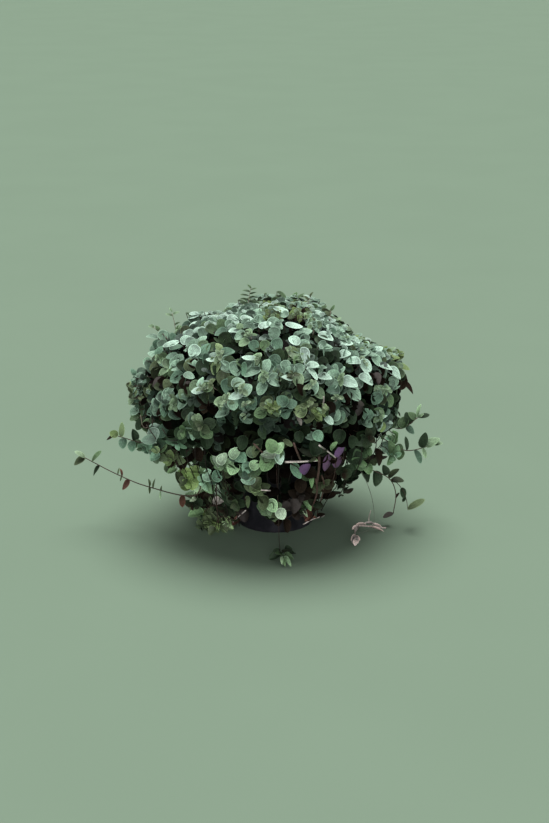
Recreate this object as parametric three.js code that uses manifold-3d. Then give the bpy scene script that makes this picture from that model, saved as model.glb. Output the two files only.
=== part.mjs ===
// A turtle vine in a plastic nursery pot: a cushion of small round leaves that has grown over the rim.
// Millimetres, +Z up. The origin is on the floor under the middle of the pot, and the front faces -Y.
import * as THREE from "three";
import { mergeVertices } from "three/addons/utils/BufferGeometryUtils.js";
import Module from "manifold-3d";

const wasm = await Module();
wasm.setup();

// Pot
const POT_HEIGHT = 120;
const BASE_RADIUS = 56;
const NECK_RADIUS = 80;
const RIM_RADIUS = 85;
const RIM_BAND = 12;
const WALL = 2.2;
const CHAMFER = 1.5;
const FLOOR_TOP = 4.5;
const POT_SIDES = 24;
const DRAIN_COUNT = 5;
const DRAIN_RADIUS = 4.5;
const DRAIN_CIRCLE = 30;
const DRAIN_SIDES = 8;

// Soil
const GAP = 0.3;
const SOIL_EDGE = 104;
const SOIL_CROWN = 108;
const SOIL_MIDDLE = 109;
const CROWN_SHARE = 0.6;
const HOLE_DEPTH = 12;
const HOLE_ROOM = 0.8;
const HOLE_SIDES = 4;

// Stems
const STEM_RADIUS = 1.3;
const STEM_SIDES = 4;
const STEM_STEP = 30;
const UPRIGHT_FOOT = 28.5;

// One leaf: half of its outline from base to tip as shares of the length, of the width and of the cup's depth
const LEAF_EDGE = [
  [0.3, 0.46, 0.6],
  [0.74, 0.44, 0.8],
];
const LEAF_THICKNESS = 2;
const LEAF_CUP = 0.1;
const TIP_DROOP = -0.4;

// Leaves along a hanging or trailing stem: degrees from the stem, and shares of the stem's leaf size
const LEAF_SPREAD = 62;
const SPREAD_PLAY = 16;
const LAST_LEAF = 0.985;
const OUTWARD_TILT = 0.55;
const OUTWARD_LEAN = 0.35;
const FIRST_LENGTH = 1.1;
const LENGTH_LOSS = 0.35;
const TIP_LENGTH = 0.75;
const TIP_WIDTH = 0.6;
const TIP_OPENING = 0.5;
const TIP_TWIST = 0.2;

// Canopy: a flattened dome of leaves on a thin mat of stems
const CANOPY_CENTRE = 195;
const CANOPY_RADIUS = 186;
const CANOPY_RISE = 125;
const CANOPY_SHELL = 7;
const CANOPY_EDGE = 97;
const CANOPY_SIDES = 24;
const CANOPY_RINGS = 7;
const CANOPY_LEAVES = 270;
const CANOPY_LEAF = 34;
const CANOPY_LEAF_WIDTH = 30;
const LEAF_SIZE_PLAY = 0.2;
const CANOPY_LIFT = 27;
const LIFT_PLAY = 8;
const CANOPY_TURN = 70;
const CANOPY_SINK = 3.5;
const BASE_OVERLAP = 4;
const CARRIERS = 6;
const CARRIER_FOOT = 30;
const CARRIER_BEND = { radius: 40, height: 160 };
const CARRIER_TOP = 38;

// Swellings of the canopy: azimuth and angle from the top in degrees, share of the radius, spread in degrees
const LOBES = [
  { azimuth: 20, polar: 14, swell: 0.05, spread: 22 },
  { azimuth: 188, polar: 58, swell: 0.055, spread: 24 },
  { azimuth: 350, polar: 68, swell: 0.06, spread: 20 },
  { azimuth: 350, polar: 42, swell: -0.07, spread: 18 },
  { azimuth: 190, polar: 26, swell: -0.035, spread: 16 },
  { azimuth: 262, polar: 62, swell: 0.03, spread: 22 },
  { azimuth: 90, polar: 60, swell: 0.04, spread: 26 },
  { azimuth: 130, polar: 35, swell: -0.04, spread: 20 },
];

const COLOURS = {
  pot: 0x17161b,
  soil: 0x2e231b,
  canopy: 0x6f9c83,
  shade: 0x4c6a50,
  fresh: 0x8fae62,
  purple: 0x7d4f78,
  dry: 0xb49a88,
};

const radians = THREE.MathUtils.degToRad;

// One repeatable stream of random numbers
function randomStream(seed) {
  let state = seed >>> 0;
  return () => {
    state = (Math.imul(state, 1664525) + 1013904223) >>> 0;
    return state / 4294967296;
  };
}

// A point from an azimuth in degrees, a radius and a height
function around(azimuth, radius, height) {
  const a = radians(azimuth);
  return new THREE.Vector3(radius * Math.cos(a), radius * Math.sin(a), height);
}

// A closed three.js geometry as a solid
function solidOf(geometry) {
  const bare = geometry.index ? geometry.clone() : geometry;
  bare.deleteAttribute("normal");
  bare.deleteAttribute("uv");
  const merged = mergeVertices(bare, 1e-4);
  const mesh = new wasm.Mesh({
    numProp: 3,
    vertProperties: new Float32Array(merged.attributes.position.array),
    triVerts: new Uint32Array(merged.index.array),
  });
  return new wasm.Manifold(mesh);
}

// A solid as a three.js geometry
function geometryOf(solid) {
  const mesh = solid.getMesh();
  const geometry = new THREE.BufferGeometry();
  geometry.setAttribute("position", new THREE.BufferAttribute(mesh.vertProperties, 3));
  geometry.setIndex(new THREE.BufferAttribute(mesh.triVerts, 1));
  const flat = geometry.toNonIndexed();
  flat.computeVertexNormals();
  return flat;
}

function fused(solids) {
  return solids.reduce((whole, next) => whole.add(next));
}

function namedMesh(name, solid, colour, roughness = 0.6) {
  const material = new THREE.MeshStandardMaterial({ color: colour, roughness, metalness: 0 });
  const mesh = new THREE.Mesh(geometryOf(solid), material);
  mesh.name = name;
  return mesh;
}

// A profile of [radius, height] pairs turned about the vertical axis
function turned(profile, sides) {
  const points = profile.map(([r, z]) => new THREE.Vector2(r, z));
  return new THREE.LatheGeometry(points, sides).rotateX(Math.PI / 2);
}

// A cupped leaf blade: one outline, with a shallow fan of faces above it and another below
function leaf(base, heading, face, length, width) {
  const along = heading.clone().normalize();
  const up = face.clone().addScaledVector(along, -face.dot(along)).normalize();
  const side = new THREE.Vector3().crossVectors(up, along);
  const at = (u, v, w) =>
    base
      .clone()
      .addScaledVector(along, u * length)
      .addScaledVector(side, v * width)
      .addScaledVector(up, w);
  const cup = LEAF_CUP * length;
  const right = LEAF_EDGE.map(([u, v, w]) => at(u, -v, w * cup));
  const left = LEAF_EDGE.map(([u, v, w]) => at(u, v, w * cup)).reverse();
  const ring = [at(0, 0, 0), ...right, at(1, 0, TIP_DROOP * cup), ...left];
  const points = [...ring, at(0.5, 0, LEAF_THICKNESS / 2), at(0.5, 0, -LEAF_THICKNESS / 2)];
  const faces = [];
  ring.forEach((_, i) => {
    const next = (i + 1) % ring.length;
    faces.push(ring.length, i, next, ring.length + 1, next, i);
  });
  const geometry = new THREE.BufferGeometry().setFromPoints(points);
  geometry.setIndex(faces);
  return solidOf(geometry);
}

// A stem along a smooth curve through the points; middle gives a point in its straight steps at a share of it
function stem(points, radius = STEM_RADIUS) {
  const curve = new THREE.CatmullRomCurve3(points, false, "centripetal");
  const section = new THREE.Shape();
  for (let i = 0; i < STEM_SIDES; i++) {
    const a = (2 * Math.PI * i) / STEM_SIDES;
    const [x, y] = [radius * Math.cos(a), radius * Math.sin(a)];
    if (i) section.lineTo(x, y);
    else section.moveTo(x, y);
  }
  const steps = Math.max(3, Math.round(curve.getLength() / STEM_STEP));
  const options = { steps, bevelEnabled: false, extrudePath: curve };
  const middle = (share) => {
    const step = Math.min(steps - 1, Math.floor(share * steps));
    const from = curve.getPointAt(step / steps);
    return from.lerp(curve.getPointAt((step + 1) / steps), share * steps - step);
  };
  return { curve, middle, solid: solidOf(new THREE.ExtrudeGeometry(section, options)) };
}

// How far the canopy swells in a direction, as a share of its radius
function swell(azimuth, polar) {
  const [a, p] = [radians(azimuth), radians(polar)];
  let total = 1;
  for (const lobe of LOBES) {
    const q = radians(lobe.polar);
    const apart = Math.cos(p) * Math.cos(q) + Math.sin(p) * Math.sin(q) * Math.cos(a - radians(lobe.azimuth));
    const narrow = 1 / (1 - Math.cos(radians(lobe.spread)));
    total += lobe.swell * Math.exp((apart - 1) * narrow);
  }
  return total;
}

// A point on the canopy's mat, a depth under its outside
function canopyPoint(azimuth, polar, depth = 0) {
  const [p, grow] = [radians(polar), swell(azimuth, polar)];
  const radius = (CANOPY_RADIUS - depth) * Math.sin(p) * grow;
  return around(azimuth, radius, CANOPY_CENTRE + (CANOPY_RISE - depth) * Math.cos(p) * grow);
}

// The angle from the top that has a share of the canopy's surface above it
function polarOfShare(share) {
  const slices = 200;
  const areas = [0];
  for (let i = 0; i < slices; i++) {
    const p = radians((CANOPY_EDGE * (i + 0.5)) / slices);
    const slope = Math.hypot(CANOPY_RADIUS * Math.cos(p), CANOPY_RISE * Math.sin(p));
    areas.push(areas[i] + Math.sin(p) * slope);
  }
  const wanted = share * areas[slices];
  return (CANOPY_EDGE * areas.findIndex((area) => area >= wanted)) / slices;
}

function potSolid() {
  const inner = (z) => BASE_RADIUS - WALL + ((NECK_RADIUS - BASE_RADIUS) * z) / POT_HEIGHT;
  const profile = [
    [0, 0],
    [BASE_RADIUS - CHAMFER, 0],
    [BASE_RADIUS, CHAMFER],
    [inner(POT_HEIGHT - RIM_BAND) + WALL, POT_HEIGHT - RIM_BAND],
    [RIM_RADIUS, POT_HEIGHT - RIM_BAND],
    [RIM_RADIUS, POT_HEIGHT - CHAMFER],
    [RIM_RADIUS - CHAMFER, POT_HEIGHT],
    [inner(POT_HEIGHT), POT_HEIGHT],
    [inner(FLOOR_TOP), FLOOR_TOP],
    [0, FLOOR_TOP],
  ];
  let pot = solidOf(turned(profile, POT_SIDES));
  for (let i = 0; i < DRAIN_COUNT; i++) {
    const at = around((360 * i) / DRAIN_COUNT, DRAIN_CIRCLE, FLOOR_TOP / 2);
    const drain = new THREE.CylinderGeometry(DRAIN_RADIUS, DRAIN_RADIUS, 3 * FLOOR_TOP, DRAIN_SIDES);
    pot = pot.subtract(solidOf(drain.rotateX(Math.PI / 2).translate(at.x, at.y, at.z)));
  }
  return pot;
}

// Soil that fills the pot, with a plain hole for each stem that stands in it
function soilSolid(roots) {
  const wall = (z) => BASE_RADIUS - WALL - GAP + ((NECK_RADIUS - BASE_RADIUS) * z) / POT_HEIGHT;
  const profile = [
    [0, FLOOR_TOP + GAP],
    [wall(FLOOR_TOP) - GAP, FLOOR_TOP + GAP],
    [wall(SOIL_EDGE) - GAP, SOIL_EDGE],
    [wall(SOIL_EDGE) * CROWN_SHARE, SOIL_CROWN],
    [0, SOIL_MIDDLE],
  ];
  let soil = solidOf(turned(profile, POT_SIDES));
  for (const root of roots) {
    const hole = new THREE.CylinderGeometry(root.radius, root.radius, 2 * HOLE_DEPTH, HOLE_SIDES);
    hole.rotateX(Math.PI / 2).translate(root.foot.x, root.foot.y, SOIL_CROWN + GAP);
    soil = soil.subtract(solidOf(hole));
  }
  return soil;
}

const HOLE_FLOOR = SOIL_CROWN + 2 * GAP - HOLE_DEPTH;
const roots = [];

// The upright foot of a stem in its hole, and the hole noted for the soil
function rooted(azimuth, radius) {
  const foot = around(azimuth, radius, HOLE_FLOOR);
  roots.push({ foot, radius: (STEM_RADIUS + HOLE_ROOM) / Math.cos(Math.PI / HOLE_SIDES) });
  return [foot, around(azimuth, radius, HOLE_FLOOR + UPRIGHT_FOOT)];
}

// The dome: its mat with the stems that carry it and its leaves
function canopySolid() {
  const random = randomStream(7);
  const outer = [];
  const inner = [];
  for (let i = 0; i <= CANOPY_RINGS; i++) {
    const p = radians((CANOPY_EDGE * i) / CANOPY_RINGS);
    outer.push([CANOPY_RADIUS * Math.sin(p), CANOPY_RISE * Math.cos(p)]);
    const [r, z] = [CANOPY_RADIUS - CANOPY_SHELL, CANOPY_RISE - CANOPY_SHELL];
    inner.unshift([r * Math.sin(p), z * Math.cos(p)]);
  }
  outer[0][0] = 0;
  inner[CANOPY_RINGS][0] = 0;
  const mat = turned([...outer, ...inner].reverse(), CANOPY_SIDES);
  const place = mat.attributes.position;
  const point = new THREE.Vector3();
  for (let i = 0; i < place.count; i++) {
    point.fromBufferAttribute(place, i);
    const across = Math.hypot(point.x, point.y);
    const azimuth = THREE.MathUtils.radToDeg(Math.atan2(point.y, point.x));
    const polar = THREE.MathUtils.radToDeg(Math.atan2(across / CANOPY_RADIUS, point.z / CANOPY_RISE));
    point.multiplyScalar(swell(azimuth, polar));
    place.setXYZ(i, point.x, point.y, point.z + CANOPY_CENTRE);
  }
  const pieces = [solidOf(mat)];
  for (let i = 0; i < CARRIERS; i++) {
    const azimuth = (360 * (i + 0.25)) / CARRIERS;
    const bend = around(azimuth, CARRIER_BEND.radius, CARRIER_BEND.height);
    const top = canopyPoint(azimuth, CARRIER_TOP, CANOPY_SHELL / 2);
    pieces.push(stem([...rooted(azimuth, CARRIER_FOOT), bend, top]).solid);
  }
  const golden = 180 * (3 - Math.sqrt(5));
  for (let i = 0; i < CANOPY_LEAVES; i++) {
    const azimuth = (golden * i) % 360;
    const polar = polarOfShare((i + 0.5) / CANOPY_LEAVES);
    const foot = canopyPoint(azimuth, polar);
    const below = canopyPoint(azimuth, polar + 1).sub(foot).normalize();
    const beside = around(azimuth + 90, 1, 0);
    const outward = new THREE.Vector3().crossVectors(below, beside).normalize();
    const turn = radians(CANOPY_TURN * (random() - 0.5));
    const lift = radians(CANOPY_LIFT + LIFT_PLAY * (random() - 0.5));
    const slope = below.multiplyScalar(Math.cos(turn)).addScaledVector(beside, Math.sin(turn));
    const heading = slope.clone().multiplyScalar(Math.cos(lift)).addScaledVector(outward, Math.sin(lift));
    const face = outward.clone().multiplyScalar(Math.cos(lift)).addScaledVector(slope, -Math.sin(lift));
    const grow = 1 + LEAF_SIZE_PLAY * (random() - 0.5);
    foot.addScaledVector(heading, -BASE_OVERLAP).addScaledVector(outward, -CANOPY_SINK);
    pieces.push(leaf(foot, heading, face, CANOPY_LEAF * grow, CANOPY_LEAF_WIDTH * grow));
  }
  return fused(pieces);
}

// Leaves in two rows along a stem from a share of its length, with a pair at its tip
function leafyStem(route, style) {
  const { curve, middle, solid } = stem(route);
  const random = randomStream(style.seed);
  const pieces = [solid];
  for (let i = 0; i < style.leaves; i++) {
    const share = style.from + ((LAST_LEAF - style.from) * i) / (style.leaves - 1);
    const at = middle(share);
    const along = curve.getTangentAt(share);
    const outward = new THREE.Vector3(at.x, at.y, 0).normalize();
    outward.z = OUTWARD_TILT;
    outward.addScaledVector(along, -outward.dot(along)).normalize();
    const side = new THREE.Vector3().crossVectors(along, outward);
    const hand = i % 2 ? 1 : -1;
    const spread = radians(LEAF_SPREAD + SPREAD_PLAY * (random() - 0.5));
    const heading = along
      .clone()
      .multiplyScalar(Math.cos(spread))
      .addScaledVector(side, hand * Math.sin(spread))
      .addScaledVector(outward, OUTWARD_LEAN);
    const length = style.size * (FIRST_LENGTH - LENGTH_LOSS * (i / style.leaves));
    const face = style.turned ? outward.clone().negate() : outward;
    pieces.push(leaf(at, heading, face, length, style.width * length));
  }
  const tip = curve.getPointAt(1);
  const ahead = curve.getTangentAt(1);
  for (const hand of [-1, 1]) {
    const outward = new THREE.Vector3(tip.x, tip.y, 0).normalize();
    const side = new THREE.Vector3().crossVectors(ahead, outward).normalize();
    const heading = ahead.clone().addScaledVector(side, TIP_OPENING * hand);
    heading.addScaledVector(outward, TIP_TWIST * hand);
    const start = tip.clone().addScaledVector(ahead, -STEM_RADIUS);
    pieces.push(leaf(start, heading, outward, TIP_LENGTH * style.size, TIP_WIDTH * style.width * style.size));
  }
  return fused(pieces);
}

// Stems that hang under the edge of the canopy, and stems that hang closer round the pot.
// Each row is an azimuth in degrees, the farthest reach, and the height and radius of its tip.
const OUTER_HANGING = [
  [30, 150, 84, 132],
  [62, 153, 92, 140],
  [94, 150, 80, 132],
  [126, 154, 90, 138],
  [158, 150, 82, 134],
  [240, 146, 74, 126],
  [272, 142, 84, 126],
  [324, 150, 96, 138],
];
const INNER_HANGING = [
  [18, 112, 44, 100],
  [56, 112, 34, 98],
  [94, 114, 46, 100],
  [132, 112, 30, 97],
  [170, 114, 42, 100],
  [247, 112, 46, 98],
  [292, 110, 50, 94],
  [316, 112, 38, 92],
];

function outerRoute([azimuth, reach, tipHeight, tipRadius]) {
  return [
    ...rooted(azimuth, 50),
    around(azimuth, 66, 152),
    around(azimuth, 108, 182),
    around(azimuth, reach - 6, 168),
    around(azimuth, reach, 132),
    around(azimuth, tipRadius, tipHeight),
  ];
}

function innerRoute([azimuth, reach, tipHeight, tipRadius]) {
  return [
    ...rooted(azimuth, 66),
    around(azimuth, 74, 136),
    around(azimuth, 94, 139),
    around(azimuth, reach, 112),
    around(azimuth, reach, 78),
    around(azimuth, tipRadius, tipHeight),
  ];
}

const at = (x, y, z) => new THREE.Vector3(x, y, z);
const part = new THREE.Group();
part.add(namedMesh("canopy", canopySolid(), COLOURS.canopy, 0.55));

OUTER_HANGING.forEach((row, i) => {
  const style = { seed: 20 + i, from: 0.46, leaves: 6, size: 30, width: 0.92 };
  part.add(namedMesh(`outer_stem_${i + 1}`, leafyStem(outerRoute(row), style), COLOURS.shade));
});
INNER_HANGING.forEach((row, i) => {
  const style = { seed: 50 + i, from: 0.46, leaves: 6, size: 29, width: 0.92 };
  part.add(namedMesh(`inner_stem_${i + 1}`, leafyStem(innerRoute(row), style), COLOURS.shade));
});

// Stems that the photograph shows one by one
const longLeft = [
  ...rooted(210, 60),
  around(210, 72, 136),
  around(210, 96, 134),
  at(-104, -62, 92),
  at(-112, -62, 62),
  at(-183, -60, 74),
  at(-225, -55, 90),
  at(-283, -42, 118),
];
const longLeftStyle = { seed: 81, from: 0.55, leaves: 9, size: 15, width: 0.5 };
part.add(namedMesh("long_left_stem", leafyStem(longLeft, longLeftStyle), COLOURS.shade));

const upperLeft = [
  ...rooted(188, 58),
  around(188, 70, 152),
  around(188, 110, 180),
  around(188, 150, 156),
  at(-178, -30, 130),
  at(-236, -26, 144),
];
const upperLeftStyle = { seed: 82, from: 0.62, leaves: 7, size: 17, width: 0.75 };
part.add(namedMesh("upper_left_stem", leafyStem(upperLeft, upperLeftStyle), COLOURS.shade));

const middleLeft = [
  ...rooted(205, 48),
  around(205, 66, 150),
  around(205, 108, 176),
  around(203, 148, 158),
  around(200, 166, 132),
  around(198, 176, 108),
];
const middleLeftStyle = { seed: 83, from: 0.6, leaves: 6, size: 19, width: 0.86 };
part.add(namedMesh("middle_left_stem", leafyStem(middleLeft, middleLeftStyle), COLOURS.shade));

const lowLeft = [
  ...rooted(224, 66),
  around(224, 76, 136),
  around(224, 96, 138),
  around(224, 112, 108),
  around(224, 116, 66),
  around(224, 112, 18),
];
const lowLeftStyle = { seed: 84, from: 0.48, leaves: 9, size: 21, width: 0.86 };
part.add(namedMesh("low_left_stem", leafyStem(lowLeft, lowLeftStyle), COLOURS.fresh));

const upperRight = [
  ...rooted(2, 46),
  around(2, 66, 152),
  around(2, 108, 176),
  at(150, 8, 154),
  at(182, 2, 140),
  at(207, -6, 160),
];
const upperRightStyle = { seed: 85, from: 0.62, leaves: 7, size: 18, width: 0.72 };
part.add(namedMesh("upper_right_stem", leafyStem(upperRight, upperRightStyle), COLOURS.shade));

const farRight = [
  ...rooted(352, 52),
  around(352, 68, 146),
  around(352, 106, 164),
  at(150, -22, 138),
  at(188, -24, 116),
  at(232, -22, 124),
];
const farRightStyle = { seed: 86, from: 0.62, leaves: 7, size: 17, width: 0.66 };
part.add(namedMesh("far_right_stem", leafyStem(farRight, farRightStyle), COLOURS.shade));

const lowRight = [
  ...rooted(346, 66),
  around(346, 76, 134),
  around(346, 94, 134),
  at(124, -28, 96),
  at(166, -28, 74),
  at(176, -26, 50),
  at(173, -24, 18),
];
const lowRightStyle = { seed: 87, from: 0.55, leaves: 7, size: 17, width: 0.6 };
part.add(namedMesh("low_right_stem", leafyStem(lowRight, lowRightStyle), COLOURS.shade));

const purple = [
  ...rooted(304, 50),
  around(304, 68, 146),
  around(304, 108, 170),
  around(304, 142, 158),
  around(305, 146, 124),
  around(306, 134, 92),
];
const purpleStyle = { seed: 88, from: 0.56, leaves: 7, size: 20, width: 0.8, turned: true };
part.add(namedMesh("purple_stem", leafyStem(purple, purpleStyle), COLOURS.purple));

const front = [
  ...rooted(270, 66),
  around(270, 76, 136),
  around(271, 96, 134),
  at(3, -108, 92),
  at(5, -98, 44),
  at(6, -104, 7),
  at(8, -140, 1.6),
  at(10, -176, 4.6),
];
const frontStyle = { seed: 89, from: 0.42, leaves: 9, size: 18, width: 0.8 };
part.add(namedMesh("front_stem", leafyStem(front, frontStyle), COLOURS.fresh));

const dried = [
  ...rooted(337, 62),
  around(337, 76, 134),
  around(337, 96, 132),
  at(122, -52, 96),
  at(140, -54, 52),
  at(142, -54, 12),
  at(134, -58, 5),
  at(112, -74, 7),
];
const driedStyle = { seed: 90, from: 0.8, leaves: 4, size: 13, width: 0.4 };
part.add(namedMesh("dried_stem", leafyStem(dried, driedStyle), COLOURS.dry, 0.9));

part.add(namedMesh("soil", soilSolid(roots), COLOURS.soil, 0.95));
part.add(namedMesh("pot", potSolid(), COLOURS.pot, 0.45));

export default part;
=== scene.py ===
import math

import bpy
import numpy as np
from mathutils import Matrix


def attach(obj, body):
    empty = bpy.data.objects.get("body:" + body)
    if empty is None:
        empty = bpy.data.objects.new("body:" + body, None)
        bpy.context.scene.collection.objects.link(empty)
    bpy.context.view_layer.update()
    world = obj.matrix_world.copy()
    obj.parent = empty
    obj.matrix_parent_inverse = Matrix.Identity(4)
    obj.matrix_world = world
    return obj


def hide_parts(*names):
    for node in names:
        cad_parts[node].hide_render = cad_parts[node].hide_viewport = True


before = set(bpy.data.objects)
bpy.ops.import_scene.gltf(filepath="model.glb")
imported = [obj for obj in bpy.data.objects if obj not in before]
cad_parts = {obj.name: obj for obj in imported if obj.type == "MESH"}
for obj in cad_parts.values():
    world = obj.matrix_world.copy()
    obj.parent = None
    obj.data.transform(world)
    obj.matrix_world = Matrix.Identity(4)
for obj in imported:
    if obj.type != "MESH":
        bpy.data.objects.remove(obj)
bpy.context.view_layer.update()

# A turtle vine in a plastic nursery pot, in metres: +Z up, the front faces -Y, the origin is on the floor
# under the middle of the pot.

# Camera: its height over the horizon in degrees, what it looks at, its lens and sensor in millimetres, how
# far it sees and how high its frame is in metres, and the photograph's size in pixels
CAMERA_ELEVATION = 18
CAMERA_TARGET = (-0.0007, 0, 0.1672)
CAMERA_LENS = 70
CAMERA_REACH = 100
SENSOR = 36
FRAME_HEIGHT = 1.193
PHOTO_WIDTH = 549
PHOTO_HEIGHT = 823
PIXEL = FRAME_HEIGHT / PHOTO_HEIGHT

# Light: a wide soft one overhead that leans to the back, a low weak one from the front, and the room; half
# the floor's width
SUN = 3.4
SUN_ANGLE = 46
SUN_LEAN = 13
FILL = 2.1
FILL_ELEVATION = 6
FILL_ANGLE = 50
SKY = 0.16
FLOOR_HALF = 30.0

# Canopy: a dome swollen by lobes, as azimuth and angle from the top in degrees, share of the radius, spread;
# how deep its dark core lies, and how much grows on it by rule, turned on by the golden angle
CANOPY_CENTRE = 0.195
CANOPY_RADIUS = 0.186
CANOPY_RISE = 0.125
CANOPY_EDGE = 103
LOBES = (
    (20, 14, 0.05, 22),
    (188, 58, 0.055, 24),
    (350, 68, 0.06, 20),
    (350, 42, -0.07, 18),
    (190, 26, -0.035, 16),
    (262, 62, 0.03, 22),
    (90, 60, 0.04, 26),
    (130, 35, -0.04, 20),
)
CORE_DEPTH = 0.030
CANOPY_PIECES = 8
SHOOTS = 330
FILLER_LEAVES = 500
DEEP_LEAVES = 700
GOLDEN = 180 * (3 - math.sqrt(5))

# Under the canopy the hanging leaves lie on a cone: its radius at the floor, and how it widens with height
TIER_FOOT = 0.068
TIER_SLOPE = 0.55

# The row of pixels under which what stands beside the foliage belongs to the hanging stems
TIER_TOP = 441

# Leaf: half of the outline from base to tip, as shares of length and width, and the rings inside it
LEAF_EDGE = (
    (0.02, 0.195), (0.12, 0.37), (0.27, 0.48), (0.45, 0.50), (0.64, 0.45), (0.82, 0.32), (0.95, 0.15),
)
LEAF_CENTRE = 0.5
UPPER_RINGS = (0.80, 0.42)
UNDER_RING = 0.6
LEAF_THICKNESS = 0.0005
LEAF_SIZE = 0.0185
LEAF_WIDTH = 0.92
FLOOR_GAP = 0.0004

# How a leaf's form varies, as shares of its length: the crease along its middle, the droop of its tip, its
# cup across and along, and the wave of its rim
CREASE = 0.10
CREASE_PLAY = 0.34
DROOP = 0.08
MORE_DROOP = 0.03
DROOP_PLAY = 0.16
CUP = 0.12
CUP_PLAY = 0.08
CUP_ACROSS = 0.7
CUP_ALONG = 0.3
RIM_WAVE = 0.03

# A leaf seen one by one: its least width as a share of its length, how much wider it is taken to be than it
# looks, and under which share it is slim and curls less
NARROWEST = 0.3
WIDENING = 2.2
SLIM = 0.55
SLIM_CURL = 0.4

# Stems are tubes of a few sides, on curves of a few steps between the given points; the thinnest carry one
# leaf, twigs a tuft of them
TUBE_SIDES = 5
CURVE_STEPS = 12
STALK_RADIUS = 0.0005
TWIG_RADIUS = 0.0007

# Directions that no stem has, from which a first direction across it is taken
TUBE_OBLIQUE = (0.3, 0.2, 0.93)
ROSETTE_OBLIQUE = (0.31, 0.52, 0.79)


def linear(red, green, blue):
    """A screen colour of 0 to 255 as light."""
    shares = np.array((red, green, blue)) / 255
    return ((shares + 0.055) / 1.055) ** 2.4


# How the kinds of leaf look in the photograph, with its light and shade: the dark kinds D and N partly
# stand for painted shade
TINTS = {
    "W": linear(188, 219, 199),
    "M": linear(146, 178, 154),
    "B": linear(99, 129, 108),
    "G": linear(95, 121, 86),
    "F": linear(138, 167, 130),
    "H": linear(164, 196, 160),
    "L": linear(114, 136, 84),
    "Y": linear(122, 142, 102),
    "O": linear(84, 97, 70),
    "D": linear(50, 65, 48),
    "N": linear(45, 37, 30),
    "C": linear(150, 176, 140),
    "P": linear(68, 62, 60),
    "U": linear(88, 66, 90),
    "K": linear(150, 144, 138),
    "V": linear(94, 68, 104),
    "R": linear(214, 196, 188),
    "E": linear(98, 68, 58),
}
SHOWS_UNDERSIDE = "PUV"

# Limits of a leaf's colour, before and after its shade, how it varies, and how the underside compares
BRIGHTEST = 0.74
PALEST = 0.9
TINT_PLAY = 0.16
UNDER_SHADE = 0.55
BLUSH = 0.6

# Light that reaches a leaf: the room's share, the least that counts, and the sky's share under the canopy
ROOM_SHARE = 0.7
LEAST_LIGHT = 0.62
UNDER_CANOPY = 0.3

# How far behind the foliage's surface the middles of the kinds lie, and the colours of stems
DEEPER = {"W": -0.003, "H": -0.002, "D": 0.008, "N": 0.008, "P": 0.003, "U": 0.0, "V": -0.012}
USUAL_DEPTH = 0.003
PALE_STEM = (0.30, 0.25, 0.20)
DARK_STEM = (0.055, 0.035, 0.028)
BROWN_STEM = (0.085, 0.058, 0.046)
SHADED_STEM = (0.020, 0.015, 0.013)
DULL_STEM = (0.17, 0.19, 0.15)
DRY_STEM = (0.56, 0.47, 0.43)

UP = np.array((0.0, 0.0, 1.0))

# Leaves seen one by one in the photograph: kind, middle in pixels, where the tip points in degrees
# counter-clockwise from the right, and the length and width that are seen, in pixels
TOP_LEAVES = (
    ("W", 193, 316, 200, 12, 6), ("M", 193, 322, 320, 12, 8), ("W", 195, 325, 190, 12, 6),
    ("W", 198, 331, 60, 8, 7), ("W", 187, 334, 60, 8, 8), ("G", 179, 331, 90, 12, 10),
    ("M", 163, 336, 300, 12, 10), ("M", 152, 337, 170, 12, 5), ("W", 216, 318, 350, 16, 5),
    ("G", 207, 326, 20, 12, 7), ("W", 203, 330, 350, 8, 5), ("B", 221, 333, 200, 13, 8),
    ("M", 232, 307, 20, 15, 5), ("W", 233, 320, 340, 13, 9), ("W", 233, 332, 170, 9, 5),
    ("M", 240, 336, 200, 12, 9), ("F", 248, 334, 60, 12, 9), ("B", 248, 309, 340, 10, 8),
    ("W", 246, 313, 330, 10, 3), ("W", 247, 319, 350, 13, 7), ("W", 251, 323, 0, 10, 4),
    ("M", 257, 314, 60, 13, 9), ("M", 260, 322, 340, 14, 9), ("W", 265, 325, 20, 13, 7),
    ("F", 255, 301, 0, 12, 6), ("G", 262, 298, 90, 8, 6), ("G", 272, 301, 90, 8, 3),
    ("W", 281, 310, 350, 15, 6), ("M", 284, 315, 200, 10, 7), ("M", 275, 325, 340, 17, 11),
    ("W", 294, 326, 350, 17, 6), ("M", 306, 333, 20, 13, 8), ("W", 319, 315, 340, 13, 7),
    ("W", 322, 319, 350, 13, 4), ("M", 312, 322, 20, 12, 7), ("M", 324, 325, 340, 12, 7),
    ("G", 295, 296, 60, 9, 5), ("N", 310, 298, 300, 7, 2), ("G", 314, 304, 30, 9, 4),
    ("G", 283, 304, 40, 8, 4), ("O", 330, 314, 90, 9, 4), ("W", 326, 337, 340, 16, 8),
    ("M", 340, 332, 10, 10, 6), ("G", 348, 331, 100, 8, 7), ("L", 357, 338, 20, 10, 5),
    ("W", 355, 342, 350, 10, 6), ("M", 366, 345, 60, 9, 8),
)
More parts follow.
